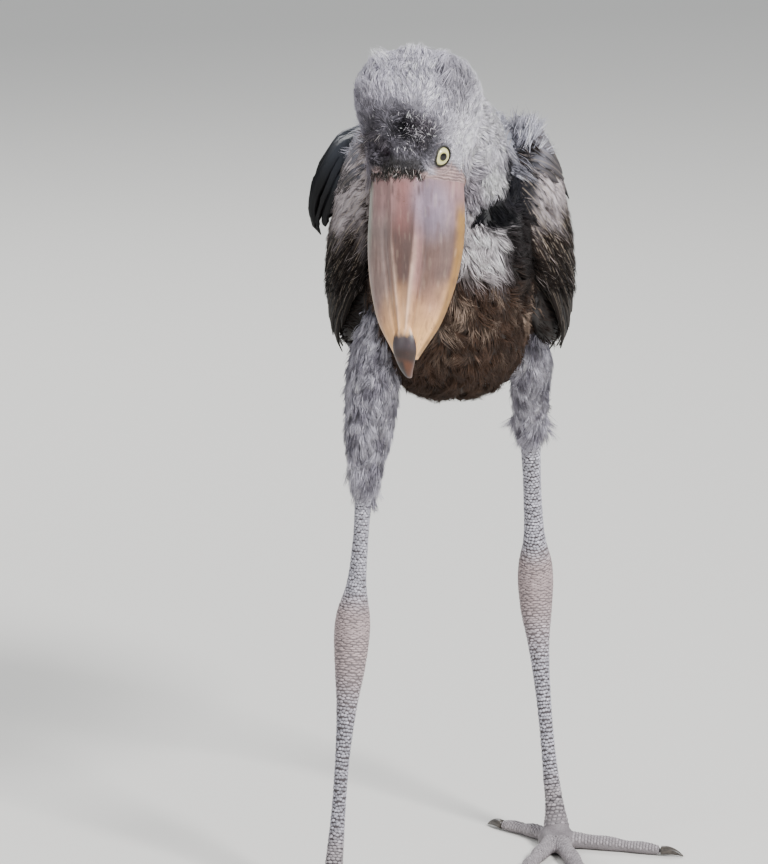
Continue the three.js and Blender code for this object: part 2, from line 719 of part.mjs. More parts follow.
for (const [side, leg] of Object.entries(legs)) {
  const locks = hemLocks(leg, side === 'left' ? 61 : 73);
  const thighNode = fused([thighBody(leg), ...locks], [trunkRoom, shinBody(leg, touchingGap)]);
  bird.add(node(`thigh_${side}`, thighNode, paleDown));
  bird.add(node(`shin_${side}`, fused([shinBody(leg)]), legSkin));
  const tarsus = fused([tarsusBody(leg)], [shinBody(leg, touchingGap), footPad(leg.foot, touchingGap)]);
  bird.add(node(`tarsus_${side}`, tarsus, legSkin));
  bird.add(node(`foot_${side}`, fused([footPad(leg.foot)]), legSkin));
  for (const [digit, spec] of Object.entries(leg.toes)) {
    bird.add(node(`toe_${side}_${digit}`, toe(leg, digit), legSkin));
    bird.add(node(`claw_${side}_${digit}`, claw(leg.foot, spec), clawHorn));
  }
}

// The origin goes on the floor, under the middle of the bird
const extent = new THREE.Box3().setFromObject(bird);
const middle = extent.getCenter(new THREE.Vector3());
bird.position.set(-middle.x, -middle.y, -extent.min.z);

const shoebill = new THREE.Group();
shoebill.add(bird);

export default shoebill;
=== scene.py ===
# A fledgling shoebill that stands with its head bowed, as a life-size museum model.
# The bird faces -Y, its left is +X and +Z is up. Tables are in the bird's own millimetres.
import math
import bpy
import numpy as np
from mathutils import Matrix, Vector, kdtree
from mathutils.bvhtree import BVHTree


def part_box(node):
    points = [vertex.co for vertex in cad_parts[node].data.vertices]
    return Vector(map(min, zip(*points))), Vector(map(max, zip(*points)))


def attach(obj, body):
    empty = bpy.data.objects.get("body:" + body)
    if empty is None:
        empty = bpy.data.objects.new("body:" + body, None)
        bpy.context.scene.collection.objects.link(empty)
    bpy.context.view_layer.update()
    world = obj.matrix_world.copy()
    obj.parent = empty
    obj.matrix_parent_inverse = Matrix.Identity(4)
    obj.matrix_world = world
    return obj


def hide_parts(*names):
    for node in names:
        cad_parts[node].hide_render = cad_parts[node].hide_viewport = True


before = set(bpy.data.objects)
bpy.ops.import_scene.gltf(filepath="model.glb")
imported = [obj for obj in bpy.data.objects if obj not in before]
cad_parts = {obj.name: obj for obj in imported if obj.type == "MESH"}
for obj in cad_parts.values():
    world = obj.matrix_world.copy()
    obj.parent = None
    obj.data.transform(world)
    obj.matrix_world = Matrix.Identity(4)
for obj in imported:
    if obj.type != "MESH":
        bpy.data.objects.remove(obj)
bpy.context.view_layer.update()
draw = np.random.default_rng(41)

# Where the bird stands: its left foot gives the place of its own millimetres in the frame
leftFoot = np.array([98.0, -8.0, 0.0])
footLow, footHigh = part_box("foot_left")
birdShift = np.array([500 * (footLow.x + footHigh.x), 500 * (footLow.y + footHigh.y), 0.0]) - leftFoot


def placed(points):
    return (np.asarray(points, float) + birdShift) / 1000


def toBird(points):
    return np.asarray(points, float) * 1000 - birdShift


def unit(vectors):
    return vectors / np.maximum(np.linalg.norm(vectors, axis=-1, keepdims=True), 1e-9)


def toLinear(hexColour):
    parts = [int(hexColour[i:i + 2], 16) / 255 for i in (1, 3, 5)]
    return np.array([c / 12.92 if c <= 0.04045 else ((c + 0.055) / 1.055) ** 2.4 for c in parts])


def smooth(rows):
    # Smooth values between rows
    rows = np.array(rows, float)
    times, values = rows[:, 0], rows[:, 1:]
    slopes = np.gradient(values, times, axis=0)

    def at(t):
        t = np.clip(np.atleast_1d(np.asarray(t, float)), times[0], times[-1])
        i = np.clip(np.searchsorted(times, t) - 1, 0, len(times) - 2)
        gap = (times[i + 1] - times[i])[:, None]
        s = (t - times[i])[:, None] / gap
        start = (1 + 2 * s) * (1 - s) ** 2 * values[i] + s * (1 - s) ** 2 * gap * slopes[i]
        return start + s * s * (3 - 2 * s) * values[i + 1] + s * s * (s - 1) * gap * slopes[i + 1]

    return at


def fade(low, high, value):
    share = np.clip((value - low) / (high - low), 0, 1)
    return share * share * (3 - 2 * share)


# Soft noise from a few crossing waves, the same on every run
waveCount = 14
waveTurns = unit(np.random.default_rng(3).normal(size=(waveCount, 3)))
wavePhases = np.random.default_rng(4).uniform(0, 6.28, waveCount)
waveTotal = 4.2  # brings the sum of the waves to between about -1 and 1


def ripple(points, size, offset=0.0):
    sizes = size * (0.7 + 0.6 * np.arange(waveCount) / (waveCount - 1))
    waves = np.sin((points @ waveTurns.T) * (6.28 / sizes) + wavePhases * (1 + offset))
    return waves.sum(axis=1) / waveTotal


# Camera at the photograph's viewing angle
cameraSet = {"elevation": 12.0, "distance": 6.0, "lens": 281.8, "looksAt": [-56.8, 0.0, 379.0]}


def makeCamera():
    tilt = math.radians(cameraSet["elevation"])
    ahead = np.array([0, math.cos(tilt), -math.sin(tilt)])
    data = bpy.data.cameras.new("camera")
    data.sensor_fit = "VERTICAL"
    data.sensor_height = 36
    data.lens = cameraSet["lens"]
    data.clip_end = 100
    camera = bpy.data.objects.new("camera", data)
    camera.location = placed(cameraSet["looksAt"]) - cameraSet["distance"] * ahead
    camera.rotation_euler = (math.pi / 2 - tilt, 0, 0)
    bpy.context.scene.collection.objects.link(camera)
    bpy.context.scene.camera = camera


makeCamera()
print("camera set")


# Materials
def newMaterial(name):
    material = bpy.data.materials.new(name)
    material.use_nodes = True
    tree = material.node_tree
    return material, tree, tree.nodes["Principled BSDF"]


def addNode(tree, kind, settings=None, inputs=None):
    node = tree.nodes.new(kind)
    for name, value in (settings or {}).items():
        setattr(node, name, value)
    for name, value in (inputs or {}).items():
        if isinstance(value, bpy.types.NodeSocket):
            tree.links.new(value, node.inputs[name])
        else:
            node.inputs[name].default_value = value
    return node


def setRamp(node, stops):
    ramp = node.color_ramp
    while len(ramp.elements) < len(stops):
        ramp.elements.new(0.5)
    for element, (place, value) in zip(ramp.elements, stops):
        element.position = place
        colour = toLinear(value) if isinstance(value, str) else [value] * 3
        element.color = (*colour, 1)


def setInputs(shader, **inputs):
    for name, value in inputs.items():
        shader.inputs[name.replace("_", " ")].default_value = value


def shadedBy(tree, colour, value, spread, shades):
    # A colour times a brightness that follows a value: the value's range, and the brightness at its two ends
    shade = addNode(tree, "ShaderNodeMapRange", None,
                    {"Value": value, "From Min": spread[0], "From Max": spread[1],
                     "To Min": shades[0], "To Max": shades[1]})
    scaled = addNode(tree, "ShaderNodeVectorMath", {"operation": "SCALE"},
                     {0: colour, "Scale": shade.outputs["Result"]})
    return scaled.outputs["Vector"]


def tint(tree, shader, colour, amount, hexColour):
    # Blends one flat colour into another and gives the result to the shader
    mixed = addNode(tree, "ShaderNodeMix", {"data_type": "RGBA"}, {0: amount, 6: colour})
    mixed.inputs[7].default_value = (*toLinear(hexColour), 1)
    tree.links.new(mixed.outputs[2], shader.inputs["Base Color"])


def downMaterial():
    # Soft down: no gloss of its own, a faint pale bloom at grazing light
    material, tree, shader = newMaterial("softDown")
    colour = addNode(tree, "ShaderNodeAttribute", {"attribute_name": "coatColour"})
    place = addNode(tree, "ShaderNodeTexCoord")
    mottle = addNode(tree, "ShaderNodeTexNoise", None,
                     {"Vector": place.outputs["Object"], "Scale": 260.0, "Detail": 3.0})
    mottled = shadedBy(tree, colour.outputs["Color"], mottle.outputs["Fac"], (0.3, 0.7), (0.86, 1.12))
    tree.links.new(mottled, shader.inputs["Base Color"])
    setInputs(shader, Roughness=0.92, Specular_IOR_Level=0.03, Sheen_Weight=0.03, Sheen_Roughness=0.5)
    return material


def featherMaterial(name, roughness, gloss, sheen):
    # Vaned feather: barbs slant from the shaft, which shows as a pale streak where the vane is worn
    material, tree, shader = newMaterial(name)
    colour = addNode(tree, "ShaderNodeAttribute", {"attribute_name": "coatColour"})
    streak = addNode(tree, "ShaderNodeAttribute", {"attribute_name": "streak"})
    vane = addNode(tree, "ShaderNodeUVMap", {"uv_map": "vaneMap"})
    parts = addNode(tree, "ShaderNodeSeparateXYZ", None, {"Vector": vane.outputs["UV"]})
    centred = addNode(tree, "ShaderNodeMath", {"operation": "SUBTRACT"}, {0: parts.outputs["X"], 1: 0.5})
    away = addNode(tree, "ShaderNodeMath", {"operation": "ABSOLUTE"}, {0: centred.outputs[0]})
    place = addNode(tree, "ShaderNodeTexCoord")
    wobble = addNode(tree, "ShaderNodeTexNoise", None,
                     {"Vector": place.outputs["Object"], "Scale": 330.0, "Detail": 2.0})
    shaken = addNode(tree, "ShaderNodeMath", {"operation": "MULTIPLY_ADD"},
                     {0: wobble.outputs["Fac"], 1: 0.14, 2: away.outputs[0]})
    shaftMask = addNode(tree, "ShaderNodeMapRange", None,
                        {"Value": shaken.outputs[0], "From Min": 0.075, "From Max": 0.14,
                         "To Min": 1.0, "To Max": 0.0})
    edgeMask = addNode(tree, "ShaderNodeMapRange", None,
                       {"Value": shaken.outputs[0], "From Min": 0.48, "From Max": 0.55,
                        "To Min": 0.0, "To Max": 0.7})
    either = addNode(tree, "ShaderNodeMath", {"operation": "MAXIMUM"},
                     {0: shaftMask.outputs["Result"], 1: edgeMask.outputs["Result"]})
    amount = addNode(tree, "ShaderNodeMath", {"operation": "MULTIPLY"},
                     {0: either.outputs[0], 1: streak.outputs["Fac"]})
    slant = addNode(tree, "ShaderNodeMath", {"operation": "MULTIPLY_ADD"},
                    {0: away.outputs[0], 1: 0.55, 2: parts.outputs["Y"]})
    barbPhase = addNode(tree, "ShaderNodeMath", {"operation": "MULTIPLY"}, {0: slant.outputs[0], 1: 190.0})
    barbs = addNode(tree, "ShaderNodeMath", {"operation": "SINE"}, {0: barbPhase.outputs[0]})
    barred = shadedBy(tree, colour.outputs["Color"], barbs.outputs[0], (-1.0, 1.0), (0.84, 1.1))
    tint(tree, shader, barred, amount.outputs[0], "#9c8f80")
    bump = addNode(tree, "ShaderNodeBump", None,
                   {"Height": barbs.outputs[0], "Strength": 0.25, "Distance": 0.0003})
    tree.links.new(bump.outputs["Normal"], shader.inputs["Normal"])
    setInputs(shader, Roughness=roughness, Specular_IOR_Level=gloss, Sheen_Weight=sheen)
    return material


def billMaterial():
    # Bill horn: thin keratin over bone, waxy, streaked lengthwise, with worn specks
    material, tree, shader = newMaterial("billHorn")
    colour = addNode(tree, "ShaderNodeAttribute", {"attribute_name": "hornColour"})
    bill = addNode(tree, "ShaderNodeUVMap", {"uv_map": "billMap"})
    long = addNode(tree, "ShaderNodeMapping", None, {"Vector": bill.outputs["UV"]})
    long.inputs["Scale"].default_value = (46, 7, 1)
    streaks = addNode(tree, "ShaderNodeTexNoise", None,
                      {"Vector": long.outputs["Vector"], "Scale": 1.0, "Detail": 5.0, "Roughness": 0.6})
    place = addNode(tree, "ShaderNodeTexCoord")
    blotches = addNode(tree, "ShaderNodeTexNoise", None,
                       {"Vector": place.outputs["Object"], "Scale": 75.0, "Detail": 5.0, "Roughness": 0.6})
    streaked = shadedBy(tree, colour.outputs["Color"], streaks.outputs["Fac"], (0.3, 0.7), (0.86, 1.08))
    blotched = shadedBy(tree, streaked, blotches.outputs["Fac"], (0.3, 0.7), (0.8, 1.16))
    specks = addNode(tree, "ShaderNodeTexNoise", None,
                     {"Vector": place.outputs["Object"], "Scale": 420.0, "Detail": 4.0, "Roughness": 0.7})
    speckMask = addNode(tree, "ShaderNodeMapRange", None,
                        {"Value": specks.outputs["Fac"], "From Min": 0.6, "From Max": 0.7,
                         "To Min": 0.0, "To Max": 1.0})
    speckShare = addNode(tree, "ShaderNodeAttribute", {"attribute_name": "specks"})
    speckAmount = addNode(tree, "ShaderNodeMath", {"operation": "MULTIPLY"},
                          {0: speckMask.outputs["Result"], 1: speckShare.outputs["Fac"]})
    tint(tree, shader, blotched, speckAmount.outputs[0], "#6b4436")
    fine = addNode(tree, "ShaderNodeBump", None,
                   {"Height": streaks.outputs["Fac"], "Strength": 0.35, "Distance": 0.0006})
    tree.links.new(fine.outputs["Normal"], shader.inputs["Normal"])
    rough = addNode(tree, "ShaderNodeMapRange", None,
                    {"Value": streaks.outputs["Fac"], "To Min": 0.3, "To Max": 0.52})
    tree.links.new(rough.outputs["Result"], shader.inputs["Roughness"])
    setInputs(shader, Specular_IOR_Level=0.5, Coat_Weight=0.2, Coat_Roughness=0.25)
    return material


def skinMaterial():
    # Bird skin: matt and finely pitted, creased before the eyes, coloured by the same markings as the coat. The
    # creases' troughs are painted darker and their crests lighter, as painted shade and light beside the bump
    material, tree, shader = newMaterial("bareSkin")
    creaseGap = 0.0026  # metres from one crease to the next
    colour = addNode(tree, "ShaderNodeAttribute", {"attribute_name": "coatColour"})
    place = addNode(tree, "ShaderNodeTexCoord")
    pits = addNode(tree, "ShaderNodeTexVoronoi", None, {"Vector": place.outputs["Object"], "Scale": 700.0})
    pitted = shadedBy(tree, colour.outputs["Color"], pits.outputs["Distance"], (0.0, 0.8), (1.08, 0.8))
    share = addNode(tree, "ShaderNodeAttribute", {"attribute_name": "crease"})
    along = addNode(tree, "ShaderNodeVectorMath", {"operation": "DOT_PRODUCT"}, {0: place.outputs["Object"]})
    along.inputs[1].default_value = headTurn[:, 1] * 2 * math.pi / creaseGap
    wander = addNode(tree, "ShaderNodeTexNoise", None, {"Vector": place.outputs["Object"], "Scale": 130.0})
    phase = addNode(tree, "ShaderNodeMath", {"operation": "MULTIPLY_ADD"},
                    {0: wander.outputs["Fac"], 1: 9.0, 2: along.outputs["Value"]})
    folds = addNode(tree, "ShaderNodeMath", {"operation": "SINE"}, {0: phase.outputs[0]})
    depth = addNode(tree, "ShaderNodeMath", {"operation": "MULTIPLY"},
                    {0: folds.outputs[0], 1: share.outputs["Fac"]})
    # Painted shade in the troughs of the creases and painted light on their crests
    creased = shadedBy(tree, pitted, depth.outputs[0], (-1.0, 1.0), (0.55, 1.2))
    tree.links.new(creased, shader.inputs["Base Color"])
    bump = addNode(tree, "ShaderNodeBump", None,
                   {"Height": pits.outputs["Distance"], "Strength": 0.4, "Distance": -0.0004})
    folded = addNode(tree, "ShaderNodeBump", None,
                     {"Height": depth.outputs[0], "Strength": 0.7, "Distance": 0.0006,
                      "Normal": bump.outputs["Normal"]})
    tree.links.new(folded.outputs["Normal"], shader.inputs["Normal"])
    setInputs(shader, Roughness=0.62, Specular_IOR_Level=0.35)
    return material


def scaleMaterial():
    # Leg scales: dry, hard-edged scutes with a slight polish
    material, tree, shader = newMaterial("legScales")
    colour = addNode(tree, "ShaderNodeAttribute", {"attribute_name": "coatColour"})
    place = addNode(tree, "ShaderNodeTexCoord")
    grain = addNode(tree, "ShaderNodeTexNoise", None,
                    {"Vector": place.outputs["Object"], "Scale": 500.0, "Detail": 3.0})
    grained = shadedBy(tree, colour.outputs["Color"], grain.outputs["Fac"], (0.3, 0.7), (0.88, 1.1))
    tree.links.new(grained, shader.inputs["Base Color"])
    setInputs(shader, Roughness=0.55, Specular_IOR_Level=0.4)
    return material


def clawMaterial():
    # Claw keratin: dark and mottled, with a polish
    material, tree, shader = newMaterial("clawKeratin")
    place = addNode(tree, "ShaderNodeTexCoord")
    grain = addNode(tree, "ShaderNodeTexNoise", None,
                    {"Vector": place.outputs["Object"], "Scale": 300.0, "Detail": 4.0})
    ramp = addNode(tree, "ShaderNodeValToRGB", None, {"Fac": grain.outputs["Fac"]})
    setRamp(ramp, [(0.3, "#2b2826"), (0.7, "#575049")])
    tree.links.new(ramp.outputs["Color"], shader.inputs["Base Color"])
    setInputs(shader, Roughness=0.38, Specular_IOR_Level=0.5)
    return material


# Mesh helpers
def deselectAll():
    bpy.ops.object.select_all(action="DESELECT")


def pick(piece):
    deselectAll()
    piece.select_set(True)
    bpy.context.view_layer.objects.active = piece


def coordinates(mesh):
    flat = np.empty(len(mesh.vertices) * 3)
    mesh.vertices.foreach_get("co", flat)
    return flat.reshape(-1, 3)


def setCoordinates(mesh, points):
    mesh.vertices.foreach_set("co", np.ascontiguousarray(points, float).ravel())
    mesh.update()


def inEditMode(piece, *steps):
    # Runs mesh operators on the whole of a piece
    pick(piece)
    bpy.ops.object.mode_set(mode="EDIT")
    bpy.ops.mesh.select_all(action="SELECT")
    for step in steps:
        step()
    bpy.ops.object.mode_set(mode="OBJECT")


def wrapped(name, shape, around, along):
    # A grid wrapped into a closed body: shape(u, v) gives the place at u round it and v along it
    deselectAll()
    bpy.ops.mesh.primitive_grid_add(x_subdivisions=around, y_subdivisions=along, size=2)
    piece = bpy.context.object
    piece.name = name
    grid = coordinates(piece.data)
    u, v = (grid[:, 0] + 1) / 2, (grid[:, 1] + 1) / 2
    setCoordinates(piece.data, placed(shape(u, v)))
    inEditMode(piece,
               lambda: bpy.ops.mesh.remove_doubles(threshold=1e-6),
               lambda: bpy.ops.mesh.normals_make_consistent(inside=False))
    return piece


def meshFromArrays(name, points, faces, faceSizes=None):
    # One joined mesh from arrays of places and corners
    mesh = bpy.data.meshes.new(name)
    faces = np.asarray(faces, np.int32)
    counts = np.full(len(faces), faces.shape[1]) if faceSizes is None else np.asarray(faceSizes)
    mesh.vertices.add(len(points))
    mesh.vertices.foreach_set("co", np.ascontiguousarray(points, np.float32).ravel())
    mesh.loops.add(faces.size)
    mesh.loops.foreach_set("vertex_index", faces.ravel())
    mesh.polygons.add(len(counts))
    starts = np.concatenate([[0], np.cumsum(counts)[:-1]])
    mesh.polygons.foreach_set("loop_start", starts.astype(np.int32))
    mesh.update(calc_edges=True)
    mesh.validate()
    piece = bpy.data.objects.new(name, mesh)
    bpy.context.scene.collection.objects.link(piece)
    return piece


def paint(mesh, name, colours):
    layer = mesh.attributes.new(name, "FLOAT_COLOR", "POINT")
    full = np.ones((len(mesh.vertices), 4), np.float32)
    full[:, :3] = colours
    layer.data.foreach_set("color", full.ravel())


def paintValue(mesh, name, values):
    mesh.attributes.new(name, "FLOAT", "POINT").data.foreach_set("value", np.asarray(values, np.float32))


def setMap(mesh, name, cornerPlaces):
    mesh.uv_layers.new(name=name).data.foreach_set("uv", np.asarray(cornerPlaces, np.float32).ravel())


def dress(piece, material, slot, *nodes):
    # Every piece is still, so it rides on the bird itself
    piece.data.materials.append(material)
    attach(piece, "root")
    if nodes:
        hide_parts(*nodes)
    return piece


def shadeSmooth(mesh):
    mesh.polygons.foreach_set("use_smooth", np.ones(len(mesh.polygons), bool))


def repeatedFaces(faces, count, size):
    # The faces of a shape of so many points, for each of its copies
    return (np.asarray(faces)[None] + (np.arange(count) * size)[:, None, None]).reshape(-1, 3)


def joinedArrays(groups):
    return {name: np.concatenate([group[name] for group in groups]) for name in groups[0]}


def treeOf(places):
    tree = kdtree.KDTree(len(places))
    for i, place in enumerate(places):
        tree.insert(place, i)
    tree.balance()
    return tree


def nearestIn(tree, places):
    return np.array([tree.find(place)[1] for place in places])


def alongSkin(flow, normal):
    # The part of a direction that lies along the skin
    return unit(flow - normal * (flow * normal).sum(axis=1)[:, None])


def ringPlaces(u, centre, across, up, halfWidth, above, square=2.0, pinch=0.0):
    angle = 2 * np.pi * u
    c, s = np.cos(angle), np.sin(angle)
    wide = np.sign(c) * np.abs(c) ** (2 / square) * halfWidth * (1 - pinch * np.maximum(0, s))
    high = np.sign(s) * np.abs(s) ** (2 / square) * above
    return centre + across * wide[:, None] + up * high[:, None]


def closing(v, share=0.03):
    # Draws a body's two ends in to a point
    edge = np.clip((np.abs(2 * v - 1) - (1 - 2 * share)) / (2 * share), 0, 1)
    return np.sqrt(np.maximum(0, 1 - edge ** 2))


def headingOf(table, v):
    # The way that a path of places runs at v
    return unit(table(np.minimum(1, v + 0.01))[:, :3] - table(np.maximum(0, v - 0.01))[:, :3])


# The body's forms. Each takes u round it and v along it, and how much thinner it is than its coat.
trunkHalfWidth = 84
bodyShift = 1
trunkRows = smooth([  # t, back y, z, belly y, z, half width
    [0.0, -138, 644, -160, 616, 0.17 * trunkHalfWidth],
    [0.09, -118, 662, -186, 579, 0.5 * trunkHalfWidth],
    [0.2, -82, 675, -196, 528, 0.73 * trunkHalfWidth],
    [0.34, -35, 679, -180, 473, 0.88 * trunkHalfWidth],
    [0.48, 20, 661, -138, 438, 0.97 * trunkHalfWidth],
    [0.61, 72, 619, -75, 422, trunkHalfWidth],
    [0.74, 115, 569, -5, 416, 0.92 * trunkHalfWidth],
    [0.85, 145, 519, 60, 419, 0.74 * trunkHalfWidth],
    [0.94, 166, 479, 115, 429, 0.5 * trunkHalfWidth],
    [1.0, 178, 454, 148, 438, 0.25 * trunkHalfWidth],
])
trunkSquare = 2.3  # a little squarer than an ellipse
xAxis = np.array([1.0, 0, 0])
zAxis = np.array([0, 0, 1.0])


def trunkLines(v):
    # The lines of back and belly, half the depth between them and the half width
    rows = trunkRows(v)
    middle = np.full(len(v), bodyShift)
    back = np.column_stack([middle, rows[:, 0], rows[:, 1]])
    belly = np.column_stack([middle, rows[:, 2], rows[:, 3]])
    return back, belly, np.linalg.norm(back - belly, axis=1) / 2, rows[:, 4]


def trunkShape(u, v, inset=6.0):
    back, belly, depth, halfWidth = trunkLines(v)
    shrink = closing(v)
    halfWidth, depth = np.maximum(halfWidth - inset, 3) * shrink, np.maximum(depth - inset, 3) * shrink
    return ringPlaces(u, (back + belly) / 2, xAxis, unit(back - belly), halfWidth, depth, trunkSquare)


def limbShape(rows):
    # A tapering body along a path, whose rows are t, x, y, z, half width, half depth
    table = smooth(rows)

    def shape(u, v, inset=0.0, share=0.02):
        at = table(v)
        heading = headingOf(table, v)
        across = unit(xAxis - heading * heading[:, :1])
        up = np.cross(across, heading)
        shrink = closing(v, share)
        return ringPlaces(u, at[:, :3], across, up, (at[:, 3] - inset) * shrink, (at[:, 4] - inset) * shrink)

    return shape


neckShape = limbShape([
    [0, 1, -78, 582, 62, 68],
    [0.25, 0, -122, 630, 57, 62],
    [0.5, -6, -156, 668, 53, 54],
    [0.75, -14, -187, 688, 49, 45],
    [1, -20, -214, 696, 45, 40],
])

# Head, in its own frame: the bill points along -Y and the crown faces +Z
skullCentre = np.array([-27.0, -249.0, 701.0])
headPitch, headRoll, headYaw = (math.radians(angle) for angle in (75, -2, -20))


def turnAbout(axis, angle):
    c, s = math.cos(angle), math.sin(angle)
    i, j = [(1, 2), (2, 0), (0, 1)][axis]
    turn = np.eye(3)
    turn[i, i] = turn[j, j] = c
    turn[i, j], turn[j, i] = -s, s
    return turn


headTurn = turnAbout(2, headYaw) @ turnAbout(1, headRoll) @ turnAbout(0, headPitch)


def fromHead(local):
    return np.asarray(local, float) @ headTurn.T + skullCentre


def toHead(points):
    return (np.asarray(points, float) - skullCentre) @ headTurn


billBaseY = -50
headRows = smooth([  # t, y, top z, bottom z, half width, pinch of the crown between the eyes
    [0, billBaseY, 30.5, -38, 42, 0.3],
    [0.12, -38, 36, -42, 45.5, 0.3],
    [0.33, -15, 45, -47, 52, 0.15],
    [0.56, 12, 50.5, -50, 57, 0],
    [0.78, 36, 46, -45, 52.5, 0],
    [0.93, 52, 31, -31, 36, 0],
    [1, 58, 12, -12, 13, 0],
])


def skullShape(u, v, inset=4.5):
    y, top, bottom, halfWidth, pinch = headRows(v).T
    thin = inset * (0.25 + 0.75 * fade(0.0, 0.22, v))
    shrink = closing(v, 0.02)
    centre = np.column_stack([-3 * v, y, (top + bottom) / 2])
    ring = ringPlaces(u, centre, xAxis, zAxis, (halfWidth - thin) * shrink,
                      ((top - bottom) / 2 - thin) * shrink, 2.3, pinch)
    return fromHead(ring)


# The bill's own lines, which its soft collar of skin follows too
billLength = 165
billHalfWidth = 42.6
mouthLine = smooth([[0, -6], [0.22, -9.5], [0.5, -8], [0.75, -4.5], [1, -4]])
billRows = smooth([  # t, half width as a share of the widest, height of the culmen
    [0, 0.95, 30],
    [0.17, 0.99, 24],
    [0.32, 1, 19.5],
    [0.47, 0.94, 16],
    [0.62, 0.81, 13],
    [0.75, 0.63, 10.5],
    [0.86, 0.37, 8.5],
    [0.93, 0.2, 7.2],
])


def billPlace(t, x, z):
    return fromHead(np.column_stack([x, billBaseY - 0.3 - t * billLength, z]))


culmenHalf = smooth([[0, 0.28], [0.3, 0.25], [0.6, 0.17], [0.8, 0.12], [0.93, 0.08]])
culmenLean = -0.05  # the culmen lies a little to the bird's right


def domeHeight(share, t):
    # Domed flanks, a flat-topped culmen between two soft ridges, and a groove outside each
    aside = np.abs(share - culmenLean)
    half = culmenHalf(t)[:, 0]
    flank = (1 - np.abs(share) ** 2.6) ** 0.55
    top = 0.11 * (1 - fade(half - 0.03, half + 0.1, aside))
    ridge = 0.035 * np.exp(-(((aside - half) / 0.035) ** 2))
    hollow = 0.03 * np.exp(-((aside / (0.6 * half)) ** 2))
    groove = 0.07 * np.exp(-(((aside - half - 0.13) / 0.08) ** 2))
    relief = (0.35 + 0.65 * fade(0.05, 0.4, t)) * fade(0, 0.12, 1 - np.abs(share))
    return 0.9 * flank + (top + ridge - hollow - groove) * relief


def collarShape(u, v):
    # Soft skin that laps the root of the bill and runs out on to the horn
    t = -0.07 + 0.115 * v
    angle = 2 * np.pi * u
    c, s = np.cos(angle), np.sin(angle)
    wide, culmen = billRows(np.maximum(t, 0)).T
    halfWidth = wide * billHalfWidth
    edge = mouthLine(np.maximum(t, 0))[:, 0]
    dome = edge + (culmen - edge) * domeHeight(np.clip(c, -0.998, 0.998), np.maximum(t, 0))
    hull = edge - (edge + 37) * (1 - np.minimum(np.abs(c), 0.999) ** 3) ** 0.6
    grown = smooth([[0, -3], [0.25, 0.8], [0.45, 1.4], [0.7, 0.4], [0.85, -0.6], [1, -3]])(v)[:, 0]
    size = (1 + grown / 36) * closing(v, 0.02)
    return billPlace(t, c * halfWidth * size, -3 + (np.where(s >= 0, dome, hull) + 3) * size)


legTables = {
    "left": {
        "thigh": [
            [0, 56, -64, 530, 10, 16],
            [0.12, 63, -59.2, 507.8, 20, 29],
            [0.34, 70, -43.5, 465.5, 23.5, 31],
            [0.6, 72, -19.9, 423.2, 20.5, 24],
            [0.82, 72.5, -5.9, 397, 16.5, 18],
            [1, 73, 3.8, 378.8, 10.5, 11],
        ],
        "shin": [
            [0, 73, 3.8, 378.8, 9.5, 9.5],
            [0.45, 76, 26.3, 312.3, 8.6, 9],
            [0.72, 78, 36.9, 272, 10.5, 12],
            [0.88, 79, 43.8, 248.8, 15.5, 17],
            [1, 79.3, 46.4, 232.7, 16.3, 18.5],
        ],
        "tarsus": [
            [0, 79.3, 46.4, 232.7, 16.3, 18.5],
            [0.12, 80, 43.4, 207.5, 14.6, 16],
            [0.25, 82, 37.4, 179.3, 10.4, 12],
            [0.42, 85.5, 28.9, 141, 7.5, 9],
            [0.75, 93, 10.9, 62.4, 7.4, 8.5],
            [0.92, 97, 2.7, 29.2, 9.8, 10],
            [0.97, 98, -2.3, 17.1, 12, 12.5],
            [1, 98, -6, 8, 13, 13],
        ],
        "foot": [98, -8],
        "toes": {"inner": [-20, 98], "middle": [12, 128], "outer": [79, 98], "hind": [-153, 76]},
    },
    "right": {
        "thigh": [
            [0, -46, -92, 532, 10, 16],
            [0.12, -54, -105.2, 509.8, 21, 29],
            [0.34, -64, -123.5, 465.5, 27, 33.5],
            [0.6, -69, -140.7, 418.1, 25, 28],
            [0.82, -72, -145.4, 384.9, 18.5, 20],
            [1, -74, -148.5, 360.7, 10, 11.5],
        ],
        "shin": [
            [0, -74, -148.5, 360.7, 8, 9],
            [0.4, -77.5, -152.6, 311.3, 7.2, 8.5],
            [0.68, -81, -156.2, 274, 9.5, 11.5],
            [0.86, -83.5, -158.3, 250.9, 15, 17],
            [1, -84.6, -158.7, 234.7, 16, 18.5],
        ],
        "tarsus": [
            [0, -84.6, -158.7, 234.7, 16, 18.5],
            [0.14, -86.5, -163.5, 203.5, 13.6, 15.5],
            [0.27, -89, -169.3, 173.3, 9.6, 11.5],
            [0.42, -92, -177, 139, 7.2, 9],
            [0.75, -98, -193.1, 62.4, 7.2, 8.5],
            [0.92, -101, -202.8, 29.2, 9.6, 10],
            [0.97, -102, -207.3, 17.1, 12, 12.5],
            [1, -102, -211, 8, 13, 13],
        ],
        "foot": [-102, -213],
        "toes": {"inner": [19, 98], "middle": [-11, 128], "outer": [-62, 100], "hind": [-172, 76]},
    },
}


def legRows(leg):
    shin = [[0.42 * row[0], *row[1:]] for row in leg["shin"][:-1]]
    return shin + [[0.42 + 0.58 * row[0], *row[1:]] for row in leg["tarsus"]]


def toeLine(foot, spec, t):
    angle, length = spec
    heading = np.radians(angle * (1 - 0.08 * t))
    out = np.column_stack([np.sin(heading), -np.cos(heading), np.zeros(len(t))])
    start = np.array([*foot, 0.0])
    return start + out * (6 + (length - 6) * t)[:, None], out


toeRows = smooth([[0, 9.5, 9], [0.25, 8, 7.4], [0.5, 7.6, 7], [0.62, 6.7, 6], [0.8, 6.9, 6.2], [1, 4.8, 5]])


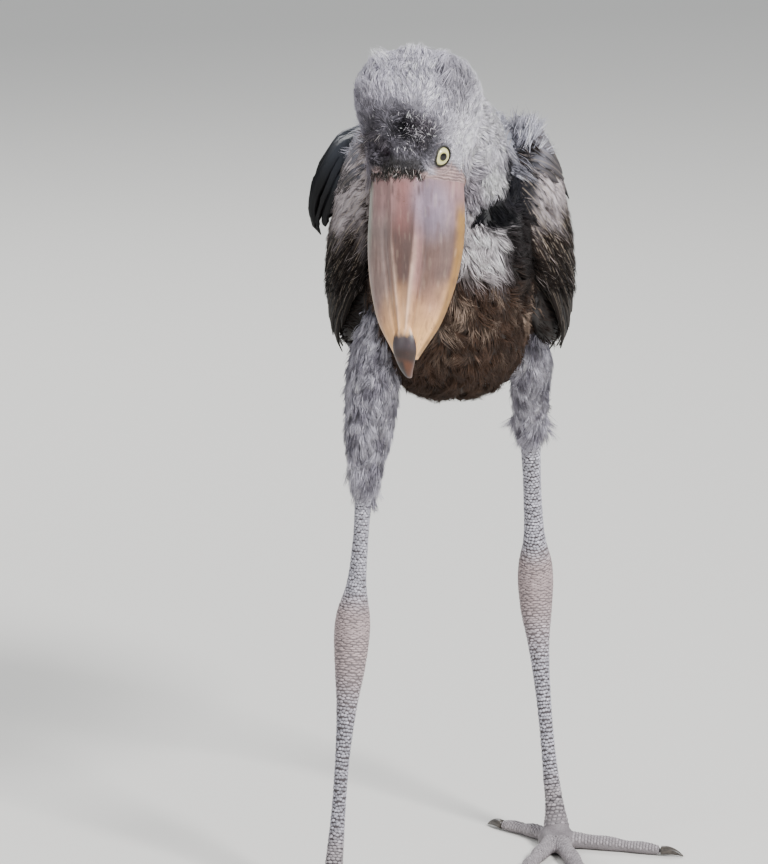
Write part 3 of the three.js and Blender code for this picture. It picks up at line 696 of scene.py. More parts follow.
def toeShape(foot, spec):
    def shape(u, v, inset=0.0):
        halfWidth, height = toeRows(v).T
        place, out = toeLine(foot, spec, v)
        across = np.column_stack([-out[:, 1], out[:, 0], out[:, 2]])
        centre = place + zAxis * (height - 1.2)[:, None]
        pads = 1 + 0.05 * np.sin(v * 6 * np.pi)
        shrink = closing(v, 0.03)
        halfWidth, height = (halfWidth * pads - inset) * shrink, (height - inset) * shrink
        ring = ringPlaces(u, centre, across, zAxis, halfWidth, height)
        ring[:, 2] = np.maximum(ring[:, 2], inset)
        return ring

    return shape


def footShape(foot):
    rows = smooth([[0, 0, 14, 15], [0.3, 5, 17, 18], [0.65, 11, 15.5, 17], [1, 17, 13, 13.5]])

    def shape(u, v, inset=0.0):
        z, halfWidth, depth = rows(v).T
        shrink = closing(v, 0.01)
        centre = np.column_stack([np.full(len(v), foot[0]), np.full(len(v), foot[1]), z])
        yAxis = np.array([0, 1.0, 0])
        return ringPlaces(u, centre, xAxis, yAxis, (halfWidth - inset) * shrink, (depth - inset) * shrink)

    return shape


# Wing: the outer face of the folded wing, s from its leading edge and h from its top edge
wingRows = smooth([  # s, top x, y, z, bottom x, y, z, outward bulge
    [0.0, 44, -104, 636, 74, -126, 500, 4],
    [0.1, 56, -86, 658, 84, -104, 478, 20],
    [0.3, 62, -28, 662, 88, -36, 464, 25],
    [0.55, 58, 62, 614, 80, 46, 438, 24],
    [0.78, 46, 135, 516, 62, 126, 404, 16],
    [1.0, 34, 206, 408, 44, 206, 380, 4],
])


def wingSheet(s, h):
    rows = wingRows(s)
    share = np.asarray(h)[:, None]
    point = rows[:, :3] * (1 - share) + rows[:, 3:6] * share
    inside = np.clip(h, 0, 1)
    point[:, 0] += rows[:, 6] * np.sin(np.pi * inside) ** 0.55 + bodyShift
    return point


def wingPlace(s, h, lift):
    s, h = np.clip(s, 0, 1), np.asarray(h, float)
    alongS = wingSheet(np.minimum(1, s + 0.02), h) - wingSheet(np.maximum(0, s - 0.02), h)
    alongH = wingSheet(s, np.minimum(1, h + 0.04)) - wingSheet(s, np.maximum(0, h - 0.04))
    outwards = unit(np.cross(alongH, alongS))
    outwards[outwards[:, 0] < 0] *= -1
    return wingSheet(s, h) + outwards * np.asarray(lift)[..., None], outwards


def mirrored(points, side):
    # The bird's right wing is its left one seen in a mirror
    if side == "left":
        return points
    flipped = points.copy()
    flipped[:, 0] = 2 * bodyShift - flipped[:, 0]
    return flipped


def wingCoreShape(side):
    thickness = smooth([[0, 8], [0.25, 32], [0.6, 32], [0.85, 20], [1, 8]])

    def shape(u, v, inset=2.5):
        s = 0.6 * v
        turn = 2 * np.pi * u
        point = wingPlace(s, 0.5 - 0.47 * np.cos(turn), np.full(len(s), -inset))[0]
        inward = np.maximum(0, -np.sin(turn))
        point[:, 0] -= thickness(v)[:, 0] * inward ** 0.6
        middle = wingPlace(s, np.full(len(s), 0.5), np.full(len(s), -12.0))[0]
        shrink = closing(v, 0.03)[:, None]
        return mirrored(middle + (point - middle) * shrink, side)

    return shape


tailStubShape = limbShape([
    [0, 1, 140, 474, 30, 22],
    [0.5, 1, 166, 450, 34, 17],
    [1, 1, 186, 425, 27, 9],
])


# Skin: every form of flesh in one surface
def fleshParts():
    parts = [
        {"name": "trunk", "shape": trunkShape, "grid": (72, 64), "flow": 1},
        {"name": "neck", "shape": lambda u, v: neckShape(u, v, 6.5), "grid": (56, 24), "flow": -1},
        {"name": "head", "shape": skullShape, "grid": (72, 48), "flow": 1},
        {"name": "collar", "shape": collarShape, "grid": (96, 16), "flow": -1},
        {"name": "tail", "shape": lambda u, v: tailStubShape(u, v, 1.5), "grid": (24, 12), "flow": 1},
    ]
    for side, leg in legTables.items():
        thigh, lower, foot = limbShape(leg["thigh"]), limbShape(legRows(leg)), footShape(leg["foot"])
        parts += [
            {"name": "thigh", "shape": lambda u, v, f=thigh: f(u, v, 6.0 - 4.5 * fade(0.75, 1, v)),
             "grid": (40, 40), "flow": 1},
            {"name": "leg", "shape": lambda u, v, f=lower: f(u, v, 0.6, 0.004), "grid": (32, 130), "flow": 1},
            {"name": "foot", "shape": lambda u, v, f=foot: f(u, v, 0.4), "grid": (32, 12), "flow": 1},
            {"name": "wing", "shape": wingCoreShape(side), "grid": (40, 30), "flow": 1},
        ]
        for spec in leg["toes"].values():
            toe = toeShape(leg["foot"], spec)
            parts.append({"name": "toe", "shape": lambda u, v, f=toe: f(u, v, 0.4),
                          "grid": (20, 44), "flow": 1})
    return parts


skinSet = {"voxel": 0.0026, "smoothing": 3}


def makeSkin():
    pieces = [wrapped(part["name"], part["shape"], *part["grid"]) for part in flesh]
    pick(pieces[0])
    for piece in pieces:
        piece.select_set(True)
    bpy.ops.object.join()
    skin = bpy.context.object
    skin.name = "birdSkin"
    remesh = skin.modifiers.new("remesh", "REMESH")
    remesh.mode = "VOXEL"
    remesh.voxel_size = skinSet["voxel"]
    bpy.ops.object.modifier_apply(modifier=remesh.name)
    soften = skin.modifiers.new("soften", "SMOOTH")
    soften.factor = 0.5
    soften.iterations = skinSet["smoothing"]
    bpy.ops.object.modifier_apply(modifier=soften.name)
    points = coordinates(skin.data)
    points[:, 2] = np.maximum(points[:, 2], 0.0004)
    setCoordinates(skin.data, points)
    shadeSmooth(skin.data)
    return skin


flesh = fleshParts()
skin = makeSkin()
print("skin made:", len(skin.data.polygons), "faces")


# What each point of the skin belongs to, from the nearest point of the forms it was made of
def skinFacts():
    samples = []
    for number, part in enumerate(flesh):
        around, along = ((np.arange(size) + 0.5) / size for size in part["grid"])
        u, v = (a.ravel() for a in np.meshgrid(around, along))
        ahead = part["shape"](u, np.minimum(1, v + 0.02)) - part["shape"](u, np.maximum(0, v - 0.02))
        samples.append({"place": placed(part["shape"](u, v)), "flow": unit(ahead) * part["flow"],
                        "part": np.full(len(u), number), "u": u, "v": v})
    samples = joinedArrays(samples)
    points = coordinates(skin.data)
    nearest = nearestIn(treeOf(samples["place"]), points)
    normals = np.empty(len(points) * 3)
    skin.data.vertices.foreach_get("normal", normals)
    return {"points": points, "normals": normals.reshape(-1, 3),
            **{name: samples[name][nearest] for name in ("flow", "part", "u", "v")}}


facts = skinFacts()
partNames = np.array([part["name"] for part in flesh])
skinPart = partNames[facts["part"]]
skinTree = treeOf(facts["points"])
print("skin read:", {name: int((skinPart == name).sum()) for name in dict.fromkeys(partNames)})


# Markings: one function of place and part for the skin and the coat alike
def blob(points, centre, radii, edge=0.35):
    away = np.linalg.norm((points - np.array(centre, float)) / np.array(radii, float), axis=1)
    return 1 - fade(1 - edge, 1 + edge, away)


def blend(base, colour, amount):
    return base + (toLinear(colour) - base) * np.asarray(amount)[..., None]


def hornColours(points):
    # Bill colours from the place along it (0 at the base) and across it (-1 to 1)
    local = toHead(points)
    t = (billBaseY - local[:, 1]) / billLength
    wide = billRows(np.clip(t, 0, 0.9))[:, 0] * billHalfWidth
    share = local[:, 0] / wide
    plan = np.column_stack([share * 40, t * billLength, 0 * t])
    wander = ripple(local, 30)
    fine = ripple(local * [1, 0.25, 1], 5, 0.4)
    half = culmenHalf(t)[:, 0]
    aside = share - culmenLean
    onCulmen = 1 - fade(half - 0.06, half + 0.04, np.abs(aside))
    base = np.tile(toLinear("#957270"), (len(points), 1))
    base = blend(base, "#8a7572", fade(0.1, 0.35, -aside) * fade(0.12, 0.3, t) * (1 - fade(0.6, 0.8, t)))
    base = blend(base, "#6a5450", fade(0.3, 0.5, aside) * fade(0.14, 0.3, t) * (1 - fade(0.5, 0.7, t)))
    # A mauve-blue patch high on the bird's left flank: partly the horn's own lavender, partly a painted
    # reflection of the sky
    base = blend(base, "#83798e", blob(plan, (20, 24, 0), (15, 25, 9), 0.6) * 0.7)
    base = blend(base, "#4f3833", onCulmen * fade(0.1, 0.3, t) * (1 - fade(0.5, 0.75, t)) * 0.95)
    base = blend(base, "#dfae74", fade(0.48, 0.86, t + 0.05 * wander + 0.06 * aside))
    base = blend(base, "#8b8a80", fade(0.74, 0.88, -share) * (1 - fade(0.25, 0.45, t)))
    base = blend(base, "#94703e", fade(0.87, 0.97, share) * fade(0.08, 0.2, t))
    base = blend(base, "#94744e", fade(0.9, 0.98, -share) * fade(0.35, 0.5, t))
    # Pale lines along the culmen's two ridges: partly the horn's own pale edges, partly painted highlight
    ridge = np.exp(-((np.abs(aside) - half) / 0.045) ** 2) * fade(0.22, 0.55, t)
    base = blend(base, "#e6c9b8", ridge * 0.5)
    flush = np.exp(-(aside / 0.2) ** 2) * fade(0.0, 0.05, t) * (1 - fade(0.2, 0.35, t))
    base = blend(base, "#8b504c", flush * 0.5)
    base = blend(base, "#d8c3b0", fade(0.7, 1.1, fine) * 0.1)
    base = blend(base, "#5d423c", fade(0.6, 1.0, -fine) * 0.3)
    # Painted shade: the bird's right flank of the bill, turned from the light, is made darker
    base = base * (0.96 - 0.08 * fade(0.05, 0.5, -aside) * (1 - fade(0.6, 0.9, t)))[:, None]
    base = base * (1 - fade(0.15, 0.45, t)[:, None] * np.array([0.0, 0.06, 0.13]))
    # The nostril slits, painted dark as the shade inside them
    slit = np.column_stack([np.abs(local[:, 0]), local[:, 1], 0 * t])
    base = blend(base, "#3b2826", blob(slit, (11.5, -62, 0), (0.9, 4.5, 9), 0.4) * 0.6)
    specks = fade(0.5, 0.9, np.abs(share)) * fade(0.5, 0.8, t) + blob(plan, (3, 16, 0), (15, 20, 9), 0.6)
    lower = local[:, 2] < mouthLine(np.clip(t, 0, 1))[:, 0]
    base[lower] = base[lower] * 0.85
    return base, np.clip(specks, 0, 1), np.column_stack([share * 0.5 + 0.5, t])


def markings(points, parts):
    # Colours at places in the bird's millimetres, by the part of the bird that each belongs to
    local = toHead(points)
    x, y, z = points.T
    wander = ripple(points, 34)
    fine = ripple(points, 11, 0.3)
    base = np.tile(toLinear("#8f8b90"), (len(points), 1))
    # Trunk: pale breast, warm brown belly, slate back
    trunk = np.isin(parts, ["trunk", "tail", "wing"])
    low = 1 - fade(546, 580, z + 9 * wander)
    body = blend(base, "#857c80", 1.0)
    body = blend(body, "#44342b", low)
    body = blend(body, "#8f7c6e", low * fade(0.2, 1.0, ripple(points, 22, 0.6)) * fade(470, 520, z))
    body = blend(body, "#30241a", low * (1 - fade(430, 470, z)))
    body = blend(body, "#756c66", fade(60, 130, y) * low)
    body = blend(body, "#f0e9ec", blob(points, (25, -182, 590), (26, 52, 31)) * (0.75 + 0.25 * fine))
    body = blend(body, "#686a74", fade(0.0, 30.0, y * 0.75 + z - 600))
    body = np.where((parts == "wing")[:, None], blend(body, "#2a2320", 1 - fade(575, 610, z)), body)
    base = np.where(trunk[:, None], body, base)
    # Neck: pale lavender, greyer low on the throat
    neck = blend(base, "#e8e4ee", 1.0)
    neck = blend(neck, "#a9a4ad", fade(0.1, 1.1, ripple(points, 17, 0.8)) * 0.6)
    neck = blend(neck, "#938c94", blob(points, (14, -196, 628), (22, 28, 24), 0.6))
    neck = blend(neck, "#8a8790", fade(-120, -60, y))
    base = np.where((parts == "neck")[:, None], neck, base)
    # Head: mauve-grey crown, dark forehead with a nearly black heart, dark fringe over the bill
    head = blend(base, "#d6d2df", 1.0)
    head = blend(head, "#e2dee8", fade(24, 44, local[:, 0]) * (1 - fade(22, 40, local[:, 2])) * 0.9)
    head = blend(head, "#8e8a93", blob(local, (42, 28, 26), (16, 30, 22), 0.6) * 0.8)
    head = blend(head, "#98929b", fade(8, 32, -local[:, 0]) * (1 - fade(10, 40, local[:, 1])) * 0.6)
    dark = np.maximum(blob(local, (-6, -20, 42), (44, 28, 36), 0.4),
                      0.9 * blob(local, (17, -30, 38), (13, 12, 14), 0.5))
    head = blend(head, "#302b31", dark * (0.85 + 0.15 * wander))
    head = blend(head, "#141318", blob(local, (1, -15, 45), (13, 11, 13), 0.5))
    head = blend(head, "#5b545b", blob(local, (17, -15, 43), (11, 8, 11), 0.5) * 0.6)
    head = head * (1 - 0.5 * blob(local, (23, -24, 37), (12, 11, 13), 0.5))[:, None]
    head = head * (1 - 0.35 * blob(local, (6, -26, 42), (16, 14, 15), 0.5))[:, None]
    fringe = 1 - fade(-42, -35, local[:, 1] + 2 * fine)
    fringe = fringe * fade(-2, 14, local[:, 2]) * (1 - fade(12, 24, local[:, 0]))
    head = blend(head, "#2c2a27", fringe * 0.9)
    head = blend(head, "#a08a88", blob(local, (34, -44, 16), (12, 7, 13)) * 0.85)
    base = np.where((parts == "head")[:, None], head, base)
    # Marks on the neck's left side, seen beside the bill
    soft = np.isin(parts, ["trunk", "neck", "wing"])
    marked = blend(base, "#1f1a19", blob(points, (61, -146, 576), (23, 46, 42)) * 0.95)
    marked = blend(marked, "#202026", blob(points, (57, -122, 634), (25, 50, 35), 0.3))
    marked = blend(marked, "#101014", blob(points, (38, -164, 608), (17, 28, 16), 0.3))
    marked = blend(marked, "#f1eef4", blob(points, (38, -171, 634), (15, 24, 11), 0.3))
    base = np.where(soft[:, None], marked, base)
    # Legs: down on the thighs, bare skin below, browner at the hock and paler at the foot
    thigh = blend(base, "#a5a2ac", 1.0)
    thigh = blend(thigh, "#635f6a", fade(0.0, 0.8, ripple(points, 20, 0.5)) * 0.8)
    thigh = blend(thigh, "#b9b6be", fade(0.3, 1.0, wander) * 0.4)
    # Painted light: the thighs are made lighter, most towards the hem, against the shade that the wing and
    # belly cast on them
    thigh = thigh * (1.12 + 0.25 * (1 - fade(385, 430, z)))[:, None]
    base = np.where((parts == "thigh")[:, None], thigh, base)
    bare = np.isin(parts, ["leg", "foot", "toe"])
    leg = blend(base, "#4f494c", 1.0)
    leg = blend(leg, "#7d7273", onHock(z))
    leg = blend(leg, "#8b8487", 1 - fade(22, 40, z))
    base = np.where(bare[:, None], leg, base)
    # The soft collar takes on the horn's colours where it runs out on to the bill
    cere = blend(base, "#a98f8c", 1.0)
    cere = blend(cere, "#857074", fade(0.0, 1.0, fine) * 0.5)
    horn = hornColours(points)[0]
    cere = cere + (horn - cere) * (1 - fade(-55.5, -51.5, local[:, 1] + 1.5 * fine))[:, None]
    return np.where((parts == "collar")[:, None], cere, base)


def onHock(z):
    return fade(150, 215, z) * (1 - fade(250, 275, z))


def paintSkin():
    points = toBird(facts["points"])
    colours = markings(points, skinPart)
    bare = np.isin(skinPart, ["leg", "foot", "toe", "collar"])
    colours[~bare] *= 0.5  # shade between the roots of the down
    paint(skin.data, "coatColour", colours)
    local = toHead(points)
    local[:, 0] = np.abs(local[:, 0])
    face = np.isin(skinPart, ["head", "collar"])
    atBill = (skinPart == "collar") * 0.35 * fade(-56, -52, local[:, 1])
    paintValue(skin.data, "crease", face * np.maximum(blob(local, (34, -46, 12), (14, 10, 20), 0.4), atBill))


paintSkin()


# Roots: places drawn over the skin's faces
def skinTriangles():
    skin.data.calc_loop_triangles()
    corners = np.empty(len(skin.data.loop_triangles) * 3, np.int32)
    skin.data.loop_triangles.foreach_get("vertices", corners)
    return corners.reshape(-1, 3)


triangles = skinTriangles()
cornerPlaces = facts["points"][triangles]
faceAreas = np.linalg.norm(np.cross(cornerPlaces[:, 1] - cornerPlaces[:, 0],
                                    cornerPlaces[:, 2] - cornerPlaces[:, 0]), axis=1) / 2
faceParts = skinPart[triangles[:, 0]]
faceCentres = toBird(cornerPlaces.mean(axis=1))
print("skin area", round(float(faceAreas.sum()), 3))


def drawRoots(count, weight):
    # Places over the skin, in proportion to area times weight for each face
    share = faceAreas * weight
    chosen = draw.choice(len(triangles), count, p=share / share.sum())
    a, b = draw.random(count), draw.random(count)
    over = a + b > 1
    a[over], b[over] = 1 - a[over], 1 - b[over]
    mix = np.column_stack([1 - a - b, a, b])
    corner = triangles[chosen]

    def read(values):
        return (values[corner] * mix[:, :, None]).sum(axis=1)

    root = read(facts["points"])
    normal = unit(read(facts["normals"]))
    first = corner[:, 0]
    return {"root": root, "normal": normal, "flow": alongSkin(read(facts["flow"]), normal),
            "bird": toBird(root), "part": skinPart[first], "number": facts["part"][first],
            "u": facts["u"][first], "v": facts["v"][first]}


def unwrapPlace(number, u, v, margin=0.05):
    # Each form of flesh has its own tile in the unwrap of the coat
    across = math.ceil(math.sqrt(len(flesh)))
    used = 1 - 2 * margin
    return np.column_stack([number % across + margin + used * u, number // across + margin + used * v]) / across


def numberOf(name, side="left"):
    # The number of a form of flesh, of which the left one comes first
    return int(np.flatnonzero(partNames == name)[0 if side == "left" else -1])


def turned(vectors, normals, angles):
    side = np.cross(normals, vectors)
    return vectors * np.cos(angles)[:, None] + side * np.sin(angles)[:, None]


def clumpLeaders(roots, spacing):
    # For each tuft, the nearest of a sparse few, whose tip its clump is drawn to
    leaders = draw.choice(len(roots), max(1, len(roots) // spacing), replace=False)
    return leaders[nearestIn(treeOf(roots[leaders]), roots)]


# A tuft of two or of three rings of three points and a tip: their places along it, widths and shades. The
# shades are painted shade, darkest at the root among the down, and the tip is painted light
tuftForms = {
    2: {"times": [0, 0.5], "widths": [0.9, 0.85], "shades": [0.5, 0.98]},
    3: {"times": [0, 0.36, 0.7], "widths": [0.8, 1.0, 0.62], "shades": [0.5, 0.82, 1.06]},
}
tuftSet = {"paintedTipLight": 1.28, "sunk": 0.0006, "patch": 0.003, "brightest": 0.9}


def tuftFaces(rings):
    faces = [[0, 2, 1]]
    for low in range(0, 3 * rings - 3, 3):
        for i in range(3):
            j = (i + 1) % 3
            faces += [[low + i, low + j, low + 3 + j], [low + i, low + 3 + j, low + 3 + i]]
    last, tip = 3 * rings - 3, 3 * rings
    return faces + [[last + i, last + (i + 1) % 3, tip] for i in range(3)]


def makeDown(name, roots, length, width, lift, curl, pull, clump, rings, colours, slot,
             swirl=0.25, droop=0.5, stray=0.0, leaders=None):
    # Tufts of down as thin closed blades that lie along the coat. Lengths are in metres.
    form = tuftForms[rings]
    count = len(roots["root"])
    normal = roots["normal"]
    turn = swirl * ripple(roots["bird"], 26, 0.7) + draw.normal(0, 0.16, count) * (1 + stray * 4)
    flow = turned(roots["flow"], normal, turn)
    rise = lift + draw.normal(0, 0.09, count) + 0.5 * (draw.random(count) < 0.03)
    heading = unit(flow * np.cos(rise)[:, None] + normal * np.sin(rise)[:, None])
    side = unit(np.cross(heading, normal))
    bend = -normal * (droop * np.sin(rise))[:, None] + side * draw.normal(0, curl, count)[:, None]
    start = roots["root"] - normal * tuftSet["sunk"]
    span = length[:, None]
    tip = start + (heading + bend) * span
    leaders = clumpLeaders(start, clump) if leaders is None else leaders
    gather = (tip[leaders] - tip) * pull
    layers = []
    for t, size in zip(form["times"], form["widths"]):
        middle = start + (heading * t + bend * t * t) * span + gather * t ** 1.6
        half = (width * size / 2)[:, None]
        up = -np.cross(side, unit(heading + 2 * bend * t))
        layers += [middle - side * half, middle + side * half, middle + up * half * 0.7]
    points = np.stack([*layers, tip + gather], axis=1)
    faces = repeatedFaces(tuftFaces(rings), count, 3 * rings + 1)
    piece = meshFromArrays(name, points.reshape(-1, 3), faces)
    brightness = np.exp(draw.normal(0, 0.18, count) + draw.normal(0, 0.21, count)[leaders])[:, None]
    # Painted shade towards each tuft's root and painted light at its tip
    shades = np.append(np.repeat(form["shades"], 3), tuftSet["paintedTipLight"])
    tones = (colours * brightness)[:, None, :] * shades[None, :, None]
    paint(piece.data, "coatColour", np.clip(tones.reshape(-1, 3), 0, tuftSet["brightest"]))
    upwards = np.append(np.repeat(form["times"], 3), 1.0)
    across = np.append(np.tile([0, 0.66, 0.33], rings), 0.5)
    spots = unwrapPlace(roots["number"], roots["u"], roots["v"])
    uv = spots[:, None, :] + tuftSet["patch"] * (np.column_stack([across, upwards]) - 0.5)[None]
    setMap(piece.data, "OFBake", uv.reshape(-1, 2)[faces.ravel()])
    shadeSmooth(piece.data)
    return dress(piece, softDown, slot)


softDown = downMaterial()
dress(skin, skinMaterial(), "leg_skin", "torso", "neck", "head",
      *[f"{node}_{side}" for node in ("thigh", "shin", "tarsus", "foot") for side in legTables],
      *[f"toe_{side}_{digit}" for side in legTables for digit in legTables[side]["toes"]])

eyeCentre = np.array([23.6, -31.0, 20.2])
eyeAim = unit(np.array([0.88, -0.28, 0.38]))


def nearEye(local):
    # How far a place on the head is from the line of sight of the eye on its side
    far = 1e3
    best = np.full(len(local), far)
    for side in (1, -1):
        aim = eyeAim * [side, 1, 1]
        away = local - eyeCentre * [side, 1, 1]
        along = away @ aim
        off = np.linalg.norm(away - along[:, None] * aim, axis=1)
        best = np.minimum(best, np.where(along > 0, off, far))
    return best


localCentres = toHead(faceCentres)
headSet = {"front": 15500, "back": 12000, "length": 7.5, "extraAtBack": 2.0, "width": 0.62}


def makeHeadDown():
    local = localCentres
    weight = (faceParts == "head").astype(float)
    weight[(local[:, 1] > 20) & (local[:, 2] < -15)] = 0.3
    reach = 8.6 + 5 * (1 - fade(-42, -32, local[:, 1]))
    weight *= fade(reach, reach + 2.0, nearEye(local))
    weight *= 1 - 0.8 * blob(local, (34, -44, 14), (10, 6, 12))
    for name, count, half in (("headDownFront", headSet["front"], local[:, 1] < 0),
                              ("headDownBack", headSet["back"], local[:, 1] >= 0)):
        roots = drawRoots(count, weight * half)
        place = toHead(roots["bird"])
        close = 1 - fade(11, 30, nearEye(place))
        atLid = 1 - fade(10, 15, nearEye(place))
        atBill = 1 - fade(-46, -28, place[:, 1])
        atBack = fade(-10, 30, place[:, 1])
        length = headSet["length"] - 2.8 * close - 2.4 * atBill + headSet["extraAtBack"] * atBack
        length = np.maximum(length, 2.4 + 1.2 * atLid) * draw.uniform(0.7, 1.35, count) / 1000
        width = (headSet["width"] - 0.2 * close) * draw.uniform(0.8, 1.25, count) / 1000
        heart = blob(place, (3, -14, 45), (24, 19, 20), 0.5)
        colours = markings(roots["bird"], roots["part"])
        pale = draw.random(count) < 0.03 + 0.12 * blob(place, (17, -16, 42), (17, 14, 16))
        colours[pale & (place[:, 1] > -36)] = toLinear("#cfcad0")
        lift = 0.33 + 0.3 * heart + 0.12 * atBack + 0.45 * atLid
        makeDown(name, roots, length, width, lift, 0.25 + 0.45 * heart, 0.5, 11, 2, colours, "pale_down",
                 swirl=0.6 + 0.9 * heart, stray=0.12 + heart)


makeHeadDown()
print("head down made")


def aimed(roots, direction):
    # Turns the lie of some tufts towards one direction, in the head's frame, along the skin
    way = unit(np.asarray(direction, float)) @ headTurn.T
    roots["flow"] = alongSkin(np.broadcast_to(way, roots["normal"].shape), roots["normal"])
    return roots


def joinedRoots(groups):
    # Groups of tufts as one, the first of each group as its leader, and each tuft's group
    sizes = [len(group["root"]) for group in groups]
    leaders = np.repeat(np.cumsum([0] + sizes[:-1]), sizes)
    return joinedArrays(groups), leaders, np.repeat(np.arange(len(groups)), sizes)


# Wisps that break the crown's outline: the turn from the middle, how far back, and the length of each
crestSet = [[-1.15, 20, 13], [-0.9, 33, 17], [-0.62, 38, 19], [-0.4, 30, 15], [-0.24, 42, 17],
            [-0.02, 40, 22], [0.12, 33, 15], [0.24, 37, 19], [0.4, 43, 17], [0.55, 36, 22],
            [0.74, 40, 17], [0.95, 30, 18], [1.15, 20, 14]]
tuftsInWisp = 34


def makeCrest():
    head = (faceParts == "head").astype(float)
    groups = []
    for turn, back, length in crestSet:
        side = math.sin(turn)
        centre = (36 * side, back + 12 - 10 * abs(side), 30 - 14 * abs(side))
        roots = drawRoots(tuftsInWisp, head * blob(localCentres, centre, (9, 9, 24), 0.5))
        groups.append(aimed(roots, (0.5 * side + draw.normal(0, 0.12), 0.85, 0.42)))
    roots, leaders, number = joinedRoots(groups)
    count = len(leaders)
    spans = np.array([length * 0.95 for turn, back, length in crestSet])
    length = spans[number] * draw.uniform(0.5, 1.15, count) / 1000
    colours = markings(roots["bird"], roots["part"]) * 0.95
    makeDown("crestWisps", roots, length, draw.uniform(0.45, 0.7, count) / 1000, 0.7, 0.14, 0.6, 1, 3, colours,
             "pale_down", swirl=0.1, droop=0.1, leaders=leaders)


makeCrest()


def makeFaceTufts():
    # The ragged edge over the bill, the strands beside it and the brows
    onFace = np.isin(faceParts, ["head", "collar"]).astype(float)
    x, y, z = localCentres.T
    atBill = (y < -38) * (y > -54) * (z > -2) * (1 - fade(8, 20, x))
    downwards = tuple(np.array([0.25, -0.35, -1.0]) @ headTurn)
    sets = [
        {"name": "billFringe", "place": atBill, "count": 2600,
         "way": (0.0, -1, 0.0), "length": 7.5, "lift": 0.2, "colour": "#2f2c29", "mix": 0.8},
        {"name": "browRight", "place": blob(localCentres, (-24, -25, 36), (11, 11, 11)), "count": 1100,
         "way": (-0.8, -0.55, -0.3), "length": 15.0, "lift": 0.42, "colour": "#565156", "mix": 0.7},
        {"name": "browOuter", "place": blob(localCentres, (-28, -28, 33), (8, 10, 8)), "count": 900,
         "way": (-0.7, -0.6, -0.2), "length": 13.0, "lift": 0.65, "colour": "#5b555b", "mix": 0.7},
        {"name": "browLeft", "place": blob(localCentres, (17, -27, 39), (6, 8, 8)), "count": 260,
         "way": (0.8, -0.5, 0), "length": 5.5, "lift": 0.25, "colour": "#6d676b", "mix": 0.6},
        {"name": "cheekRight", "place": blob(localCentres, (-45, -34, 6), (11, 13, 22)), "count": 900,
         "way": (-0.12, -1, 0.05), "length": 22.0, "lift": 0.3, "colour": "#9a939c", "mix": 0.8},
        {"name": "whiteTuft", "place": blob(faceCentres, (39, -170, 642), (11, 17, 8)), "count": 420,
         "way": downwards, "length": 14.0, "lift": 0.6, "colour": "#fbf9fc", "mix": 1.0},
        {"name": "cheekLeft", "place": blob(localCentres, (48, -34, -12), (9, 13, 18)), "count": 500,
         "way": (0.3, -1, -0.2), "length": 14.0, "lift": 0.35, "colour": "#b3aeb6", "mix": 0.7},
    ]
    for item in sets:
        count = item["count"]
        where = faceParts == "neck" if item["name"] == "whiteTuft" else onFace
        roots = aimed(drawRoots(count, where * item["place"]), item["way"])
        length = item["length"] * draw.uniform(0.55, 1.25, count) / 1000
        colours = blend(markings(roots["bird"], roots["part"]), item["colour"], item["mix"])
        pale = draw.random(count) < 0.08
        if item["mix"] < 1:
            colours[pale] = toLinear("#b9b1ae")
        makeDown(item["name"], roots, length, draw.uniform(0.45, 0.8, count) / 1000, item["lift"], 0.25, 0.5,
                 10, 3, colours, "pale_down", swirl=0.35)


makeFaceTufts()
print("face tufts made")


def makeBodyDown():
    x, y, z = faceCentres.T
    underWing = (np.abs(x) > 62) & (y > -100) & (y < 110) & (z > 440)
    onNeck, onWing = faceParts == "neck", faceParts == "wing"
    onTrunk = (faceParts == "trunk") | (faceParts == "tail")
    onBack = (y * 0.75 + z > 640) & onTrunk
    onMantle = (np.abs(x) > 22) * (np.abs(x) < 78) * (y > -120) * (y < -20) * (z > 632)
    onMantle = onMantle * np.isin(faceParts, ["wing", "trunk", "neck"]) * (1 + 2.0 * (x > 40) * (y < -55))
    # Softer down has two rings to a tuft, so that there can be more of it
    sets = [
        {"name": "neckDown", "weight": onNeck * 1.0, "count": 14000, "length": 19.0, "lift": 0.42,
         "clump": 16, "rings": 2, "slot": "pale_down"},
        {"name": "breastDown", "weight": onTrunk * (y < -95) * ~underWing * ~onBack * 1.0, "count": 15500,
         "length": 21.0, "lift": 0.4, "clump": 22, "rings": 2, "slot": "body_down"},
        {"name": "bellyDown", "weight": onTrunk * (y >= -95) * ~onBack * np.where(underWing, 0.12, 1.0),
         "count": 11500, "length": 21.0, "lift": 0.36, "clump": 22, "rings": 2, "slot": "body_down"},
        {"name": "shoulderDown", "weight": onWing * (y < 20) * 1.0, "count": 3500, "length": 18.0,
         "lift": 0.45, "clump": 16, "rings": 2, "slot": "body_down"},
        {"name": "mantleDown", "weight": onMantle, "count": 4000, "length": 28.0, "lift": 0.68, "clump": 12,
         "rings": 3, "slot": "wing_feather"},
        {"name": "backDown", "weight": onBack * 1.0, "count": 1500, "length": 18.0, "lift": 0.25,
         "clump": 14, "rings": 2, "slot": "body_down"},
    ]
    for item in sets:
        count = item["count"]
        roots = drawRoots(count, item["weight"])
        length = item["length"] * draw.uniform(0.6, 1.35, count) / 1000
        width = draw.uniform(0.5, 0.95, count) / 1000
        colours = markings(roots["bird"], roots["part"])
        if item["name"] == "mantleDown":
            length = length * (1 + 0.3 * blob(roots["bird"], (50, -85, 655), (18, 38, 32)))
            colours = blend(colours, "#b9b8c4", 0.75) * np.exp(draw.normal(0, 0.32, count))[:, None]
        makeDown(item["name"], roots, length, width, item["lift"], 0.3, 0.7, item["clump"], item["rings"],
                 colours, item["slot"], swirl=0.8)


makeBodyDown()
print("body down made")

thighSet = {"tufts": 10500, "length": 17, "extraLow": 7, "locks": 24, "tuftsInLock": 26}


